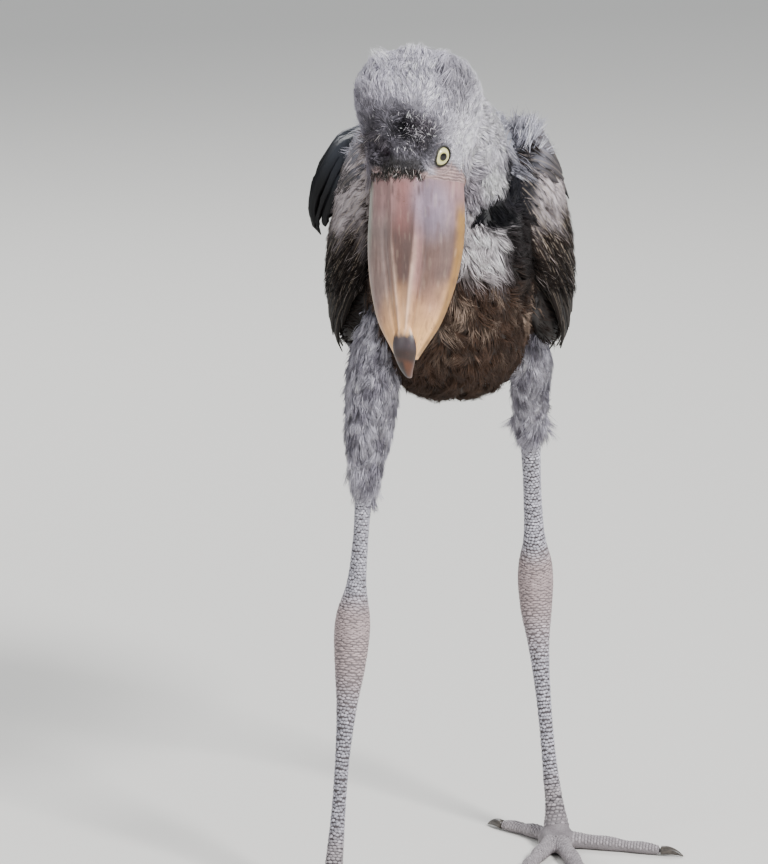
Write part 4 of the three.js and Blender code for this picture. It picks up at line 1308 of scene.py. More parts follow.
def makeThighDown():
    heights, turns = facts["v"][triangles[:, 0]], facts["u"][triangles[:, 0]]
    for side, sign in (("left", 1), ("right", -1)):
        onThigh = (faceParts == "thigh") * (faceCentres[:, 0] * sign > 0) * 1.0
        count = thighSet["tufts"]
        roots = drawRoots(count, onThigh)
        length = thighSet["length"] + thighSet["extraLow"] * fade(0.6, 0.9, roots["v"])
        length = length * draw.uniform(0.65, 1.35, count) / 1000
        colours = markings(roots["bird"], roots["part"])
        makeDown(f"thighDown_{side}", roots, length, draw.uniform(0.5, 0.95, count) / 1000, 0.36, 0.22, 0.72,
                 18, 2, colours, "pale_down", swirl=0.4)
        # Pointed locks at the hem, spread round it by a step that doesn't divide the turn
        groups = []
        for lock in range(thighSet["locks"]):
            height = 0.62 + 0.34 * (lock % 4) / 3 + draw.normal(0, 0.02)
            aside = np.abs((turns - (lock / thighSet["locks"] * 2.93) % 1 + 0.5) % 1 - 0.5)
            weight = onThigh * (np.abs(heights - height) < 0.05) * (aside < 0.07)
            if weight.sum() > 0:
                groups.append(drawRoots(thighSet["tuftsInLock"], weight))
        locks, leaders, number = joinedRoots(groups)
        size = len(leaders)
        spans = draw.uniform(20, 33, len(groups))[number] * draw.uniform(0.6, 1.1, size) / 1000
        rise = draw.uniform(0.25, 0.6, len(groups))[number]
        colours = markings(locks["bird"], locks["part"]) * 1.1
        makeDown(f"hemLocks_{side}", locks, spans, draw.uniform(0.6, 1.0, size) / 1000, rise, 0.1, 0.75, 1, 3,
                 colours, "pale_down", swirl=0.3, droop=0.8, leaders=leaders)


makeThighDown()
print("thigh down made")

# Vaned feathers: five places across the upper face of each and three across the lower one
upperPlaces = [-1.0, -0.5, 0.0, 0.5, 1.0]
lowerPlaces = [0.5, 0.0, -0.5]
vaneOutline = smooth([[0, 0.3], [0.12, 0.72], [0.4, 1], [0.72, 0.92], [0.9, 0.6], [1, 0.12]])
vaneSet = {"ragged": 0.08, "thickness": 0.7, "camber": 0.16, "shaft": 0.25, "patch": 0.003}


def vaneFrame(path, outwards):
    # The directions across a feather and out of its face, along its path
    ahead = unit(np.gradient(path, axis=0))
    across = unit(np.cross(outwards, ahead))
    return across, np.cross(ahead, across)


def vaneArrays(vane, offset):
    path, across, face = vane["path"], vane["across"], vane["face"]
    count = len(path)
    t = np.linspace(0, 1, count)
    jags = 1 + vane.get("ragged", vaneSet["ragged"]) * draw.normal(0, 1, (count, 2))
    reach = vaneOutline(t)[:, 0] * vane["halfWidth"]
    half = vane.get("thickness", vaneSet["thickness"]) / 2
    places = upperPlaces + lowerPlaces
    rows = []
    for k, c in enumerate(places):
        upper = k < len(upperPlaces)
        jag = 1 if abs(c) < 1 else jags[:, 0] if c < 0 else jags[:, 1]
        height = (half if upper else -half) * (1 - abs(c)) - vaneSet["camber"] * reach * c * c
        height = height + (vaneSet["shaft"] if upper and c == 0 else 0)
        rows.append(path + across * (reach * c * jag)[:, None] + face * height[:, None])
    sides = len(places)
    index = np.arange(count * sides).reshape(count, sides)
    beside = np.roll(index, -1, axis=1)
    quads = np.concatenate([np.column_stack([index[:-1, i], beside[:-1, i], beside[1:, i], index[1:, i]])
                            for i in range(sides)])
    startCap = [[index[0, 0], index[0, i + 1], index[0, i]] for i in range(1, sides - 1)]
    endCap = [[index[-1, 0], index[-1, i], index[-1, i + 1]] for i in range(1, sides - 1)]
    faces = np.concatenate([quads[:, [0, 1, 2]], quads[:, [0, 2, 3]], startCap, endCap])
    if vane.get("flip"):
        faces = faces[:, ::-1]
    uv = np.stack(np.broadcast_arrays((np.array(places)[None, :] + 1) / 2, t[:, None]), axis=2).reshape(-1, 2)
    base = np.broadcast_to(vane["colour"], path.shape)
    base = base * ((0.65 + 0.35 * fade(0, 0.3, t)) * (1 - 0.25 * fade(0.75, 1, t)))[:, None]
    return {"points": np.stack(rows, axis=1).reshape(-1, 3), "faces": faces + offset, "uv": uv,
            "colours": np.repeat(base, sides, axis=0), "streaks": np.full(count * sides, vane["streak"]),
            "bake": vane["unwrap"] + vaneSet["patch"] * (uv - 0.5)}


def makeVanes(name, vanes, material, slot, *nodes):
    # Feathers joined in one mesh, each with its path, the directions along it, and its place in the unwrap
    groups, offset = [], 0
    for vane in vanes:
        groups.append(vaneArrays(vane, offset))
        offset += len(groups[-1]["points"])
    joined = joinedArrays(groups)
    corners = joined["faces"].ravel()
    piece = meshFromArrays(name, placed(joined["points"]), joined["faces"])
    paint(piece.data, "coatColour", np.clip(joined["colours"], 0, tuftSet["brightest"]))
    paintValue(piece.data, "streak", joined["streaks"])
    setMap(piece.data, "vaneMap", joined["uv"][corners])
    setMap(piece.data, "OFBake", joined["bake"][corners])
    piece.data.uv_layers.active = piece.data.uv_layers["OFBake"]
    shadeSmooth(piece.data)
    dress(piece, material, slot, *nodes)
    print(name, len(joined["faces"]), "triangles")


darkFeather = featherMaterial("wingFeather", 0.7, 0.1, 0.04)
glossyFeather = featherMaterial("glossyFeather", 0.4, 0.25, 0.0)

# Wing tiers, from the flight feathers up to the smallest coverts at the leading edge.
# from and to are the roots' [s, h] at the two ends of the tier, fromTip and toTip those of the tips.
tierFacts = ["count", "from", "to", "fromTip", "toTip", "halfWidth", "lift", "colour", "streak",
             "segments", "ragged"]
wingTiers = [dict(zip(tierFacts, row)) for row in (
    [10, [0.3, 0.95], [0.4, 0.62], [1, 0.95], [0.86, 0.5], 10, 0.6, "#2f2e33", 0.0, 14, 0.04],
    [12, [0.2, 0.84], [0.44, 0.38], [0.66, 0.98], [0.84, 0.36], 11, 1.8, "#3a3836", 0.0, 12, 0.05],
    [6, [0.36, 0.34], [0.44, 0.1], [0.8, 0.28], [0.84, 0.02], 12, 2.8, "#45444a", 0.1, 12, 0.06],
    [18, [0.1, 0.84], [0.4, 0.2], [0.42, 0.98], [0.68, 0.22], 7.5, 3.4, "#241d19", 0.6, 10, 0.1],
    [20, [0.06, 0.78], [0.33, 0.16], [0.27, 0.98], [0.52, 0.24], 6, 4.4, "#1f1814", 0.75, 9, 0.12],
    [22, [0.03, 0.7], [0.27, 0.13], [0.17, 0.96], [0.42, 0.24], 5, 5.2, "#1d1612", 0.9, 8, 0.14],
    [23, [0.01, 0.6], [0.21, 0.1], [0.09, 0.9], [0.34, 0.22], 4.6, 6.0, "#1f1713", 0.95, 8, 0.14],
    [23, [0.0, 0.48], [0.15, 0.07], [0.05, 0.78], [0.26, 0.2], 4.4, 6.6, "#251d19", 0.95, 8, 0.16],
    [21, [0.0, 0.36], [0.1, 0.05], [0.03, 0.64], [0.19, 0.2], 4.2, 7.2, "#2f2622", 0.9, 8, 0.18],
    [18, [0.0, 0.24], [0.06, 0.03], [0.02, 0.5], [0.14, 0.2], 4.2, 7.8, "#3d342f", 0.8, 7, 0.2],
    [15, [0.0, 0.13], [0.03, 0.01], [0.02, 0.36], [0.1, 0.18], 4.2, 8.2, "#4a403b", 0.7, 7, 0.2],
)]
# Scapulars: they lie over the wing's top edge, and darken to black towards their drooping tips
scapularTiers = [dict(zip(tierFacts + ["pale", "blackTip"], row)) for row in (
    [24, [0.1, 0.05], [0.42, -0.01], [0.3, 0.34], [0.74, 0.14], 6, 6.6, "#2b2c32", 0.3, 10, 0.14, 0.0, 0.8],
    [28, [0.02, 0.01], [0.32, -0.03], [0.15, 0.26], [0.54, 0.1], 5, 8.0, "#5a5b64", 0.4, 10, 0.18, 0.1, 0.95],
)]


def wingColours(points, base, pale=0.85):
    # Pale pinkish grey at the top of the wing's front, charcoal beside the neck, darkest at the low end
    x, y, z = points.T
    wander = ripple(points, 24)
    out = np.abs(x - bodyShift)
    front = 1 - fade(-60, 0, y)
    low = np.where(x < 0, 562, 574)
    colours = blend(base, "#c8bdc0", fade(low, low + 46, z + 12 * wander) * front * fade(66, 80, out) * pale)
    colours = blend(colours, "#26262b", blob(points, (64, -112, 622), (13, 36, 34), 0.3) * 0.9)
    return blend(colours, "#100c0a", (1 - fade(525, 585, z)) * front * 0.75)


def wingVane(side, root, tip, tier, flare):
    t = np.linspace(0, 1, tier["segments"] + 1)
    s = root[0] + (tip[0] - root[0]) * t
    h = root[1] + (tip[1] - root[1]) * t
    lift = -3 + (tier["lift"] + 3) * np.minimum(1, 3 * t) + flare * t * t
    path, outwards = wingPlace(s, h, lift + draw.normal(0, 0.3))
    across, face = vaneFrame(path, outwards)
    tilt = 0.13 + draw.normal(0, 0.05)
    across, face = across * np.cos(tilt) + face * np.sin(tilt), face * np.cos(tilt) - across * np.sin(tilt)
    if side == "right":
        path = mirrored(path, side)
        across, face = across * [-1, 1, 1], face * [-1, 1, 1]
    colour = np.tile(toLinear(tier["colour"]) * math.exp(draw.normal(0, 0.13)), (len(t), 1))
    colour = blend(colour, "#0f0e11", fade(0.45, 0.75, t) * tier.get("blackTip", 0.0))
    halfWidth = tier["halfWidth"] * (1 + draw.normal(0, 0.06))
    colour = wingColours(path, colour, tier.get("pale", 0.85))
    streak = tier["streak"] * draw.uniform(0.4, 1.0) * (0.3 + 0.7 * float(fade(500, 560, path[-1, 2])))
    return {"path": path, "across": across, "face": face, "halfWidth": halfWidth, "colour": colour,
            "streak": streak, "ragged": tier["ragged"], "flip": side == "right",
            "unwrap": unwrapPlace(numberOf("wing", side), root[0], max(0, root[1]), 0.1)[0]}


def makeWings():
    for side in legTables:
        vanes = []
        for tier in wingTiers + scapularTiers:
            for share in np.linspace(0, 1, tier["count"]):
                root = np.array(tier["from"]) * (1 - share) + np.array(tier["to"]) * share
                tip = np.array(tier["fromTip"]) * (1 - share) + np.array(tier["toTip"]) * share
                root = root + draw.normal(0, 0.006, 2)
                tip = tip + draw.normal(0, 0.012, 2)
                flare = 3 * (1 - share) if tier in scapularTiers else 0
                if side == "right" and tier in scapularTiers:
                    root, tip, flare = root + [0, 0.05 * (1 - share)], tip + [0, 0.05], 0
                vanes.append(wingVane(side, root, tip, tier, flare))
        makeVanes(f"wingFeathers_{side}", vanes, darkFeather, "wing_feather", f"wing_{side}")


makeWings()
print("wings made")

# Loose black scapulars that hook over the bird's right shoulder: places along each, in the bird's millimetres
hookedSet = [
    [(-58, -30, 648), (-84, -40, 648), (-104, -48, 634), (-118, -54, 610), (-124, -58, 592), (-121, -61, 574)],
    [(-56, -38, 642), (-82, -46, 641), (-101, -52, 625), (-114, -57, 602), (-120, -60, 584), (-118, -62, 574)],
    [(-54, -24, 652), (-80, -32, 653), (-101, -40, 641), (-115, -46, 620), (-123, -51, 600), (-123, -54, 588)],
    [(-56, -44, 636), (-78, -52, 633), (-94, -57, 618), (-106, -61, 598), (-112, -64, 584), (-112, -66, 576)],
    [(-52, -18, 654), (-78, -24, 656), (-98, -32, 647), (-112, -38, 629), (-120, -43, 610), (-121, -46, 598)],
    [(-56, -34, 645), (-84, -44, 644), (-106, -50, 626), (-119, -55, 600), (-122, -58, 582), (-116, -61, 568)],
    [(-54, -28, 650), (-82, -36, 651), (-103, -44, 638), (-118, -50, 614), (-124, -54, 594), (-119, -57, 578)],
]


def makeHookedFeathers():
    vanes = []
    t = np.linspace(0, 1, 17)
    shoulder = np.array([-66.0, 60, 590])
    for number, places in enumerate(hookedSet):
        path = smooth([[i / (len(places) - 1), *place] for i, place in enumerate(places)])(t)
        path[:, 0] += 4 * (1 - fade(-110, -90, path[:, 0]))
        across, face = vaneFrame(path, unit(path - shoulder))
        colours = blend(np.tile(toLinear("#09080a"), (len(t), 1)), "#363940", 1 - fade(0.3, 0.62, t))
        vanes.append({"path": path, "across": across, "face": face, "halfWidth": 6.0 - 0.3 * number,
                      "colour": colours, "streak": 0.0, "ragged": 0.13, "thickness": 0.8,
                      "unwrap": np.array([0.72 + 0.01 * number, 0.7])})
    makeVanes("hookedFeathers", vanes, glossyFeather, "wing_feather", "wing_right")


makeHookedFeathers()

wingDownCount = 2600


def makeWingDown():
    # Wisps of nestling down that still cling to the coverts at the front of the wing
    count = wingDownCount
    for side in legTables:
        s = draw.random(count) ** 1.4 * 0.3
        h = 0.02 + 0.72 * draw.random(count) ** 1.3
        lift = 7.5 - 8 * s
        root, normal = wingPlace(s, h, lift)
        tip = mirrored(wingPlace(s + 0.06, h + 0.16, lift)[0], side)
        root = mirrored(root, side)
        normal = normal * ([1, 1, 1] if side == "left" else [-1, 1, 1])
        roots = {"root": placed(root), "normal": normal, "flow": alongSkin(unit(tip - root), normal),
                 "bird": root, "number": np.full(count, numberOf("wing", side)),
                 "u": 0.1 + 0.8 * s, "v": 0.1 + 0.8 * h}
        colours = wingColours(root, np.tile(toLinear("#2b231f"), (count, 1)))
        pale = draw.random(count) < 0.1
        colours[pale] = blend(colours[pale], "#a89c98", 0.5)
        length = draw.uniform(8, 17, count) / 1000
        makeDown(f"wingDown_{side}", roots, length, draw.uniform(0.4, 0.75, count) / 1000, 0.3, 0.2, 0.6, 9, 3,
                 colours, "wing_feather")


makeWingDown()

mantleSet = {"rows": 13, "places": (13, 14), "shortSide": 47, "side": 57, "shortRows": 4, "paleRows": 7}


def makeMantle():
    vanes = []
    t = np.linspace(0, 1, 9)
    for row in range(mantleSet["rows"]):
        along = row / (mantleSet["rows"] - 1)
        start = 0.12 + 0.64 * along
        reach = mantleSet["shortSide"] if row < mantleSet["shortRows"] else mantleSet["side"]
        for share in np.linspace(-1, 1, mantleSet["places"][row % 2]):
            side = share * reach + draw.normal(0, 2)
            back, belly, depth, halfWidth = trunkLines(np.minimum(start + (0.12 + 0.06 * along) * t, 1))
            up = unit(back - belly)
            spread = side * (1 + 0.15 * t)
            bow = np.sqrt(np.maximum(0.05, 1 - (np.abs(spread) / halfWidth) ** trunkSquare))
            rise = -7 + 9 * np.minimum(1, 1.8 * t) - 0.75 * depth * (1 - bow)
            path = back + up * rise[:, None] + xAxis * spread[:, None]
            across, face = vaneFrame(path, unit(up + xAxis * (side / 90)))
            colour = "#84858f" if row < mantleSet["paleRows"] else "#5c5e66"
            colour = toLinear(colour) * math.exp(draw.normal(0, 0.16))
            vanes.append({"path": path, "across": across, "face": face, "halfWidth": 6.4 + draw.normal(0, 0.8),
                          "colour": colour, "streak": 0.45, "ragged": 0.18,
                          "unwrap": np.array([0.08 + 0.0008 * side, 0.02 + 0.14 * start])})
    makeVanes("mantleFeathers", vanes, darkFeather, "wing_feather")


makeMantle()

tailSet = {"root": [bodyShift, 158, 460.0], "heading": [0, 0.62, -0.785], "upwards": [0, 0.785, 0.62],
           "count": 12, "length": 128, "halfWidth": 12.5}


def makeTail():
    root, heading, upwards = (np.array(tailSet[name]) for name in ("root", "heading", "upwards"))
    vanes = []
    t = np.linspace(0, 1, 15)[:, None]
    for share in np.linspace(-1, 1, tailSet["count"]):
        place = share * 4.5
        fan = -place * 0.05
        direction = heading * math.cos(fan) + np.cross(upwards, heading) * math.sin(fan)
        length = tailSet["length"] * (1 - 0.012 * place * place) + draw.normal(0, 1.5)
        lift = 3 - 1.3 * abs(place) - (0.65 if place < 0 else 0)
        path = root + xAxis * place * 4 + upwards * lift + direction * length * t + upwards * 5 * t * t
        colour = toLinear("#3d3e45") * math.exp(draw.normal(0, 0.1))
        vanes.append({"path": path, "across": np.broadcast_to(unit(np.cross(direction, upwards)), path.shape),
                      "face": np.broadcast_to(upwards, path.shape), "halfWidth": tailSet["halfWidth"],
                      "colour": colour, "streak": 0.0, "ragged": 0.04, "flip": True,
                      "unwrap": np.array([0.68 + 0.01 * place, 0.1])})
    makeVanes("tailFeathers", vanes, darkFeather, "tail_feather", "tail")


makeTail()
print("back and tail made")

# Bill: shells whose first 80 hundredths of a turn go over the horn, and the rest back along the mouth
overShare = 0.8


def billShell(u, v, t, halfWidth, edge, depth, curve):
    # depth is the greatest height over the mouth's edge, and curve gives the height at each share across
    over = u < overShare
    share = np.where(over, np.sin((u / overShare - 0.5) * np.pi), 1 - (u - overShare) / (1 - overShare) * 2)
    z = np.where(over, edge + depth * curve(share), edge)
    rounding = closing(v, 0.004)
    middle = edge + depth * 0.4
    return billPlace(t, share * halfWidth * rounding, middle + (z - middle) * rounding)


def hullCurve(share):
    return (1 - np.minimum(np.abs(share), 0.999) ** 3) ** 0.6


def upperBillShape(u, v):
    t = 0.93 * v
    wide, culmen = billRows(t).T
    edge = mouthLine(t)[:, 0] + 0.15
    return billShell(u, v, t, wide * billHalfWidth, edge, culmen - edge,
                     lambda share: domeHeight(np.clip(share, -0.998, 0.998), t))


lowerBillRows = smooth([[0, -37], [0.3, -35.5], [0.6, -27], [0.8, -18], [0.87, -14]])  # t, lowest z


def lowerBillShape(u, v):
    t = 0.86 * v
    edge = mouthLine(t)[:, 0] - 0.15
    halfWidth = billRows(t)[:, 0] * billHalfWidth - 1.5
    return billShell(u, v, t, halfWidth, edge, lowerBillRows(t)[:, 0] - edge, hullCurve)


nailForm = limbShape([
    [0, 0, -172, 2.6, 5, 5],
    [0.1, 0, -178, 4.0, 8, 6.2],
    [0.24, 0, -187, 4.2, 10.4, 6.9],
    [0.4, 0, -197, 2.4, 10.2, 7.1],
    [0.52, 0, -204, -0.6, 8, 6.6],
    [0.7, 0, -210, -4.6, 5.6, 5.4],
    [0.87, 0, -214.4, -10.5, 3.0, 3.6],
    [1, 0, -216.4, -17, 0.7, 0.9],
])


def nailShape(u, v):
    return fromHead(nailForm(u, v, 0, 0.05))


def nailColours(points):
    # The nail darkens from the horn to its hood, and its tip is amber on the bird's left; its right side is
    # painted darker, as painted shade
    local = toHead(points)
    along = -local[:, 1]
    base = blend(hornColours(points)[0], "#3a3034", fade(179, 186, along + 1.5 * ripple(local, 5)))
    base = blend(base, "#2a140d", fade(192, 199, along))
    base = blend(base, "#52280a", fade(201, 207, along - 0.2 * local[:, 0]))
    # Painted shade on the right side of the nail's tip
    base = blend(base, "#1c0a05", fade(202, 207, along) * fade(-2, 1, -local[:, 0]))
    return base, np.full(len(points), 0.2), np.column_stack([local[:, 0] / 20 + 0.5, along / billLength])


def makeBill():
    horn = billMaterial()
    for name, node, shape, colour, grid in (
        ("billUpper", "upper_bill", upperBillShape, hornColours, (160, 120)),
        ("billNail", "upper_bill", nailShape, nailColours, (48, 60)),
        ("billLower", "lower_bill", lowerBillShape, hornColours, (160, 120)),
    ):
        piece = wrapped(name, shape, *grid)
        colours, specks, places = colour(toBird(coordinates(piece.data)))
        paint(piece.data, "hornColour", colours)
        paintValue(piece.data, "specks", specks)
        corners = np.empty(len(piece.data.loops), np.int32)
        piece.data.loops.foreach_get("vertex_index", corners)
        for layer in list(piece.data.uv_layers):
            piece.data.uv_layers.remove(layer)
        setMap(piece.data, "billMap", places[corners])
        shadeSmooth(piece.data)
        dress(piece, horn, "bill_horn", node)


makeBill()
print("bill made")

# Eyes: the far one is turned a little outwards, so that the brow hides it
eyeRadius = 11.5
irisAims = {1: unit(np.array([0.80, -0.26, 0.54])), -1: unit(np.array([0.95, -0.16, 0.26]))}


def eyeMaterial(name, centre, aim):
    # Eye: a wet clear cornea over a pale yellow iris and a black pupil, by the angle from its aim
    material, tree, shader = newMaterial(name)
    place = addNode(tree, "ShaderNodeTexCoord")
    offset = addNode(tree, "ShaderNodeVectorMath", {"operation": "SUBTRACT"}, {0: place.outputs["Object"]})
    offset.inputs[1].default_value = centre
    ray = addNode(tree, "ShaderNodeVectorMath", {"operation": "NORMALIZE"}, {0: offset.outputs["Vector"]})
    facing = addNode(tree, "ShaderNodeVectorMath", {"operation": "DOT_PRODUCT"}, {0: ray.outputs["Vector"]})
    facing.inputs[1].default_value = aim
    angle = addNode(tree, "ShaderNodeMath", {"operation": "ARCCOSINE"}, {0: facing.outputs["Value"]})
    fibres = addNode(tree, "ShaderNodeTexNoise", None,
                     {"Vector": ray.outputs["Vector"], "Scale": 22.0, "Detail": 4.0})
    shaken = addNode(tree, "ShaderNodeMath", {"operation": "MULTIPLY_ADD"},
                     {0: fibres.outputs["Fac"], 1: 0.05, 2: angle.outputs[0]})
    ramp = addNode(tree, "ShaderNodeValToRGB", None, {"Fac": shaken.outputs[0]})
    setRamp(ramp, [(0.27, "#070707"), (0.3, "#3d3b28"), (0.34, "#b5b06f"), (0.5, "#dcd8a2"), (0.7, "#c9c58d"),
                   (0.76, "#5f5c3c"), (0.82, "#1d1c17")])
    tree.links.new(ramp.outputs["Color"], shader.inputs["Base Color"])
    setInputs(shader, Roughness=0.5, IOR=1.38, Specular_IOR_Level=0.1, Coat_Weight=0.7, Coat_Roughness=0.03)
    return material


def makeEyes():
    for name, sideName, side in (("eyeLeft", "left", 1), ("eyeRight", "right", -1)):
        deselectAll()
        centre = placed(fromHead(eyeCentre * [side, 1, 1]))
        aim = headTurn @ (irisAims[side] * [side, 1, 1])
        bpy.ops.mesh.primitive_uv_sphere_add(segments=64, ring_count=32, radius=eyeRadius / 1000,
                                             location=centre)
        piece = bpy.context.object
        piece.name = name
        bpy.ops.object.transform_apply(location=True, rotation=True, scale=True)
        away = coordinates(piece.data) - centre
        bulge = 1 + 0.035 * fade(0.72, 1, (unit(away) * aim).sum(axis=1))  # the cornea stands a little proud
        setCoordinates(piece.data, centre + away * bulge[:, None])
        shadeSmooth(piece.data)
        dress(piece, eyeMaterial(f"eye_{sideName}", centre, aim), "eye", f"eye_{sideName}")


makeEyes()
print("eyes made")

# Lids and the wrinkled skin round each eye, in millimetres, laid on the head and joined to its skin
lidSet = {"opening": 7.7, "reach": 16.5, "around": 84, "steps": 30, "foldGap": 2.2, "foldDepth": 0.4,
          "thickness": 1.6, "tufts": 3200}
hidingWay = np.array([0.342, -0.048, 0.939])  # in the head's frame: the far lid's tufts hide the eye this way


def lidTufts(side, outer, angle):
    # Short down that starts at the lid's rim, all round but for the bare skin before the bill
    steps, around = outer.shape[:2]
    count = lidSet["tufts"]
    ring = (draw.random(count) * (steps - 7)).astype(int) + 4
    spot = draw.integers(0, around, count)
    bare = np.cos(angle[spot]) + 0.25 - 1.1 * np.maximum(0, np.sin(angle[spot]) + 0.25)
    keep = draw.random(count) > fade(0.1, 0.55, bare) * 0.97
    ring, spot = ring[keep], spot[keep]
    place = outer[ring, spot]
    count = len(place)
    outwards = unit(outer[ring + 2, spot] - place)
    along = unit(outer[ring, (spot + 1) % around] - outer[ring, spot - 1])
    normal = unit(np.cross(outwards, along))
    normal *= np.sign(normal @ (eyeAim * [side, 1, 1]))[:, None]
    flow = unit(outwards + 0.5 * np.array([0, 1.0, 0]) + 0.25 * draw.normal(0, 1, place.shape))
    bird = fromHead(place)
    nearest = nearestIn(skinTree, placed(bird))
    roots = {"root": placed(bird), "normal": normal @ headTurn.T, "flow": alongSkin(flow, normal) @ headTurn.T,
             "bird": bird, "number": np.full(count, numberOf("head")), "u": facts["u"][nearest],
             "v": facts["v"][nearest]}
    share = ring / steps
    ahead = (place - eyeCentre * [side, 1, 1]) @ hidingWay
    hides = fade(-0.2, 0.4, ahead - 3) * (side < 0)
    length = (3.2 + 2.4 * share + 5.0 * hides) * draw.uniform(0.7, 1.3, count) / 1000
    colours = markings(bird, np.full(count, "head"))
    colours = blend(colours, "#3f393f", (1 - fade(0.1, 0.5, share)) * 0.6)
    name = "lidDown_left" if side > 0 else "lidDown_right"
    makeDown(name, roots, length, draw.uniform(0.4, 0.7, count) / 1000, 0.42 + 0.75 * hides, 0.25, 0.4, 8, 2,
             colours, "pale_down", swirl=0.3)


def skinHeight(surface, flat, aim):
    # How far the head's skin stands over each place, towards the aim
    heights = np.zeros(len(flat))
    for i, place in enumerate(flat):
        hit = surface.ray_cast(Vector(place + aim * 30), Vector(-aim))[0]
        if hit is not None:
            heights[i] = (np.array(hit) - place) @ aim
    return heights


def lidRings(side, surface, angle):
    # Rings from the opening outwards, as places in the head's frame, and their colours
    centre, aim = eyeCentre * [side, 1, 1], unit((eyeAim + irisAims[side]) * [side, 1, 1])
    front = unit(np.array([0, -1.0, 0]) - aim * -aim[1])
    crown = np.cross(front, aim)
    crown = crown * np.sign(crown[2])
    way = np.cos(angle)[:, None] * front + np.sin(angle)[:, None] * crown
    above = np.maximum(0, np.sin(angle))
    ahead = np.maximum(0, np.cos(angle))
    opening = lidSet["opening"] * (1.0 if side > 0 else 0.86)
    opening = opening * (1 + 0.09 * np.abs(np.cos(angle)) - 0.13 * above)
    outer, inner, shades = [], [], []
    for share in np.linspace(0, 1, lidSet["steps"]):
        radius = opening + (lidSet["reach"] - 3.5 * (1 - ahead) - opening) * share ** 1.15
        flat = centre + way * (radius * (1 + 0.12 * np.abs(np.cos(angle)) * share))[:, None]
        ball = np.sqrt(np.maximum(0, 11.75 ** 2 - np.minimum(radius, eyeRadius) ** 2))
        lip = ball + 1.2 * np.sin(np.pi / 2 * min(1, share / 0.05))
        brow = (0.9 if side > 0 else 1.8) * above * np.exp(-((radius - 11) / 2.6) ** 2)
        turns = 2 * np.pi * (radius - 9) / lidSet["foldGap"] + 0.9 * np.sin(3 * angle)
        turns = turns + 0.5 * np.sin(7 * angle + side)
        fold = lidSet["foldDepth"] * np.cos(turns) * (1 - fade(13, 16, radius)) * fade(9.2, 10.5, radius)
        merge = fade(8.8, 13.0, radius)
        height = lip * (1 - merge) + (skinHeight(surface, flat, aim) + 0.5) * merge + brow + fold
        height = height - 2.4 * fade(0.8, 1, share)
        place = flat + aim * height[:, None]
        outer.append(place)
        inner.append(place - aim * lidSet["thickness"])
        tone = markings(fromHead(place), np.full(len(angle), "head"))
        lore = blob(place, (34 * side, -46, 14), (12, 11, 15), 0.4)
        tone = blend(tone, "#a68d8b", np.maximum(lore, 0.35 * (1 - above)) * fade(9.5, 11, radius))
        tone = blend(tone, "#2a2821", 1 - fade(8.8, 10.6, radius))
        # The lid is a little darker than the markings, with painted shade in the troughs of its folds and
        # painted light on their crests
        shades.append(tone * (0.86 + 0.16 * np.cos(turns) * fade(9.5, 11, radius))[:, None])
    return outer, inner, shades


def makeLids():
    surface = BVHTree.FromPolygons(toHead(toBird(facts["points"])).tolist(), triangles.tolist())
    angle = np.linspace(0, 2 * np.pi, lidSet["around"], endpoint=False)
    pieces = []
    for side in (1, -1):
        outer, inner, shades = lidRings(side, surface, angle)
        lidTufts(side, np.array(outer), angle)
        rings = np.array(outer + inner[::-1])
        colours = np.array(shades + shades[::-1])
        index = np.arange(len(rings) * len(angle)).reshape(len(rings), len(angle))
        faces = [np.column_stack([low, np.roll(low, -1), np.roll(high, -1), high])
                 for low, high in zip(index, np.roll(index, -1, axis=0))]
        piece = meshFromArrays("lids", placed(fromHead(rings.reshape(-1, 3))), np.concatenate(faces))
        paint(piece.data, "coatColour", colours.reshape(-1, 3))
        inEditMode(piece, lambda: bpy.ops.mesh.normals_make_consistent(inside=False))
        shadeSmooth(piece.data)
        piece.data.materials.append(skin.data.materials[0])
        pieces.append(piece)
    pick(skin)
    for piece in pieces:
        piece.select_set(True)
    bpy.ops.object.join()


makeLids()
print("lids made")

# Scales on the bare legs and toes: closed plates, small and netted on the shin, broad on the hock's creases
scaleSet = {"high": 2.9, "wide": 3.3, "rise": 0.42, "sink": 0.5, "legLength": 372,
            "toeRow": 2.9, "toeHigh": 3.0, "toeRise": 0.28, "acrossToe": 7}
plateCorners = np.array([[-0.47, -0.27], [0, -0.52], [0.47, -0.27], [0.47, 0.27], [0, 0.52], [-0.47, 0.27]])
# Painted shade: each plate is darkest at its foot, in the gaps between plates, and lightest in its raised
# middle
platePaintedShade = np.repeat([0.48, 0.96, 1.06], [6, 6, 1])  # at the foot, the rim and the middle of a plate


def plateMesh(plates):
    # Six-sided plates with a flat raised top, from arrays of places and directions in millimetres
    count = len(plates["centre"])

    def ring(share, height):
        size = plateCorners * share
        return (plates["centre"][:, None]
                + plates["aside"][:, None] * (size[None, :, :1] * plates["wide"][:, None, None])
                + plates["along"][:, None] * (size[None, :, 1:] * plates["high"][:, None, None])
                + plates["out"][:, None] * (height[:, None, None] * np.ones((1, 6, 1))))

    low, top = ring(0.98, np.full(count, -scaleSet["sink"])), ring(0.74, plates["rise"])
    middle = (plates["centre"] + plates["out"] * (plates["rise"] + 0.06)[:, None])[:, None]
    points = np.concatenate([low, top, middle], axis=1)
    faces = []
    for i in range(6):
        j = (i + 1) % 6
        faces += [[i, j, 6 + j], [i, 6 + j, 6 + i], [6 + i, 6 + j, 12]]
    faces += [[0, 2, 1], [0, 3, 2], [0, 4, 3], [0, 5, 4]]
    return points.reshape(-1, 3), repeatedFaces(faces, count, 13)


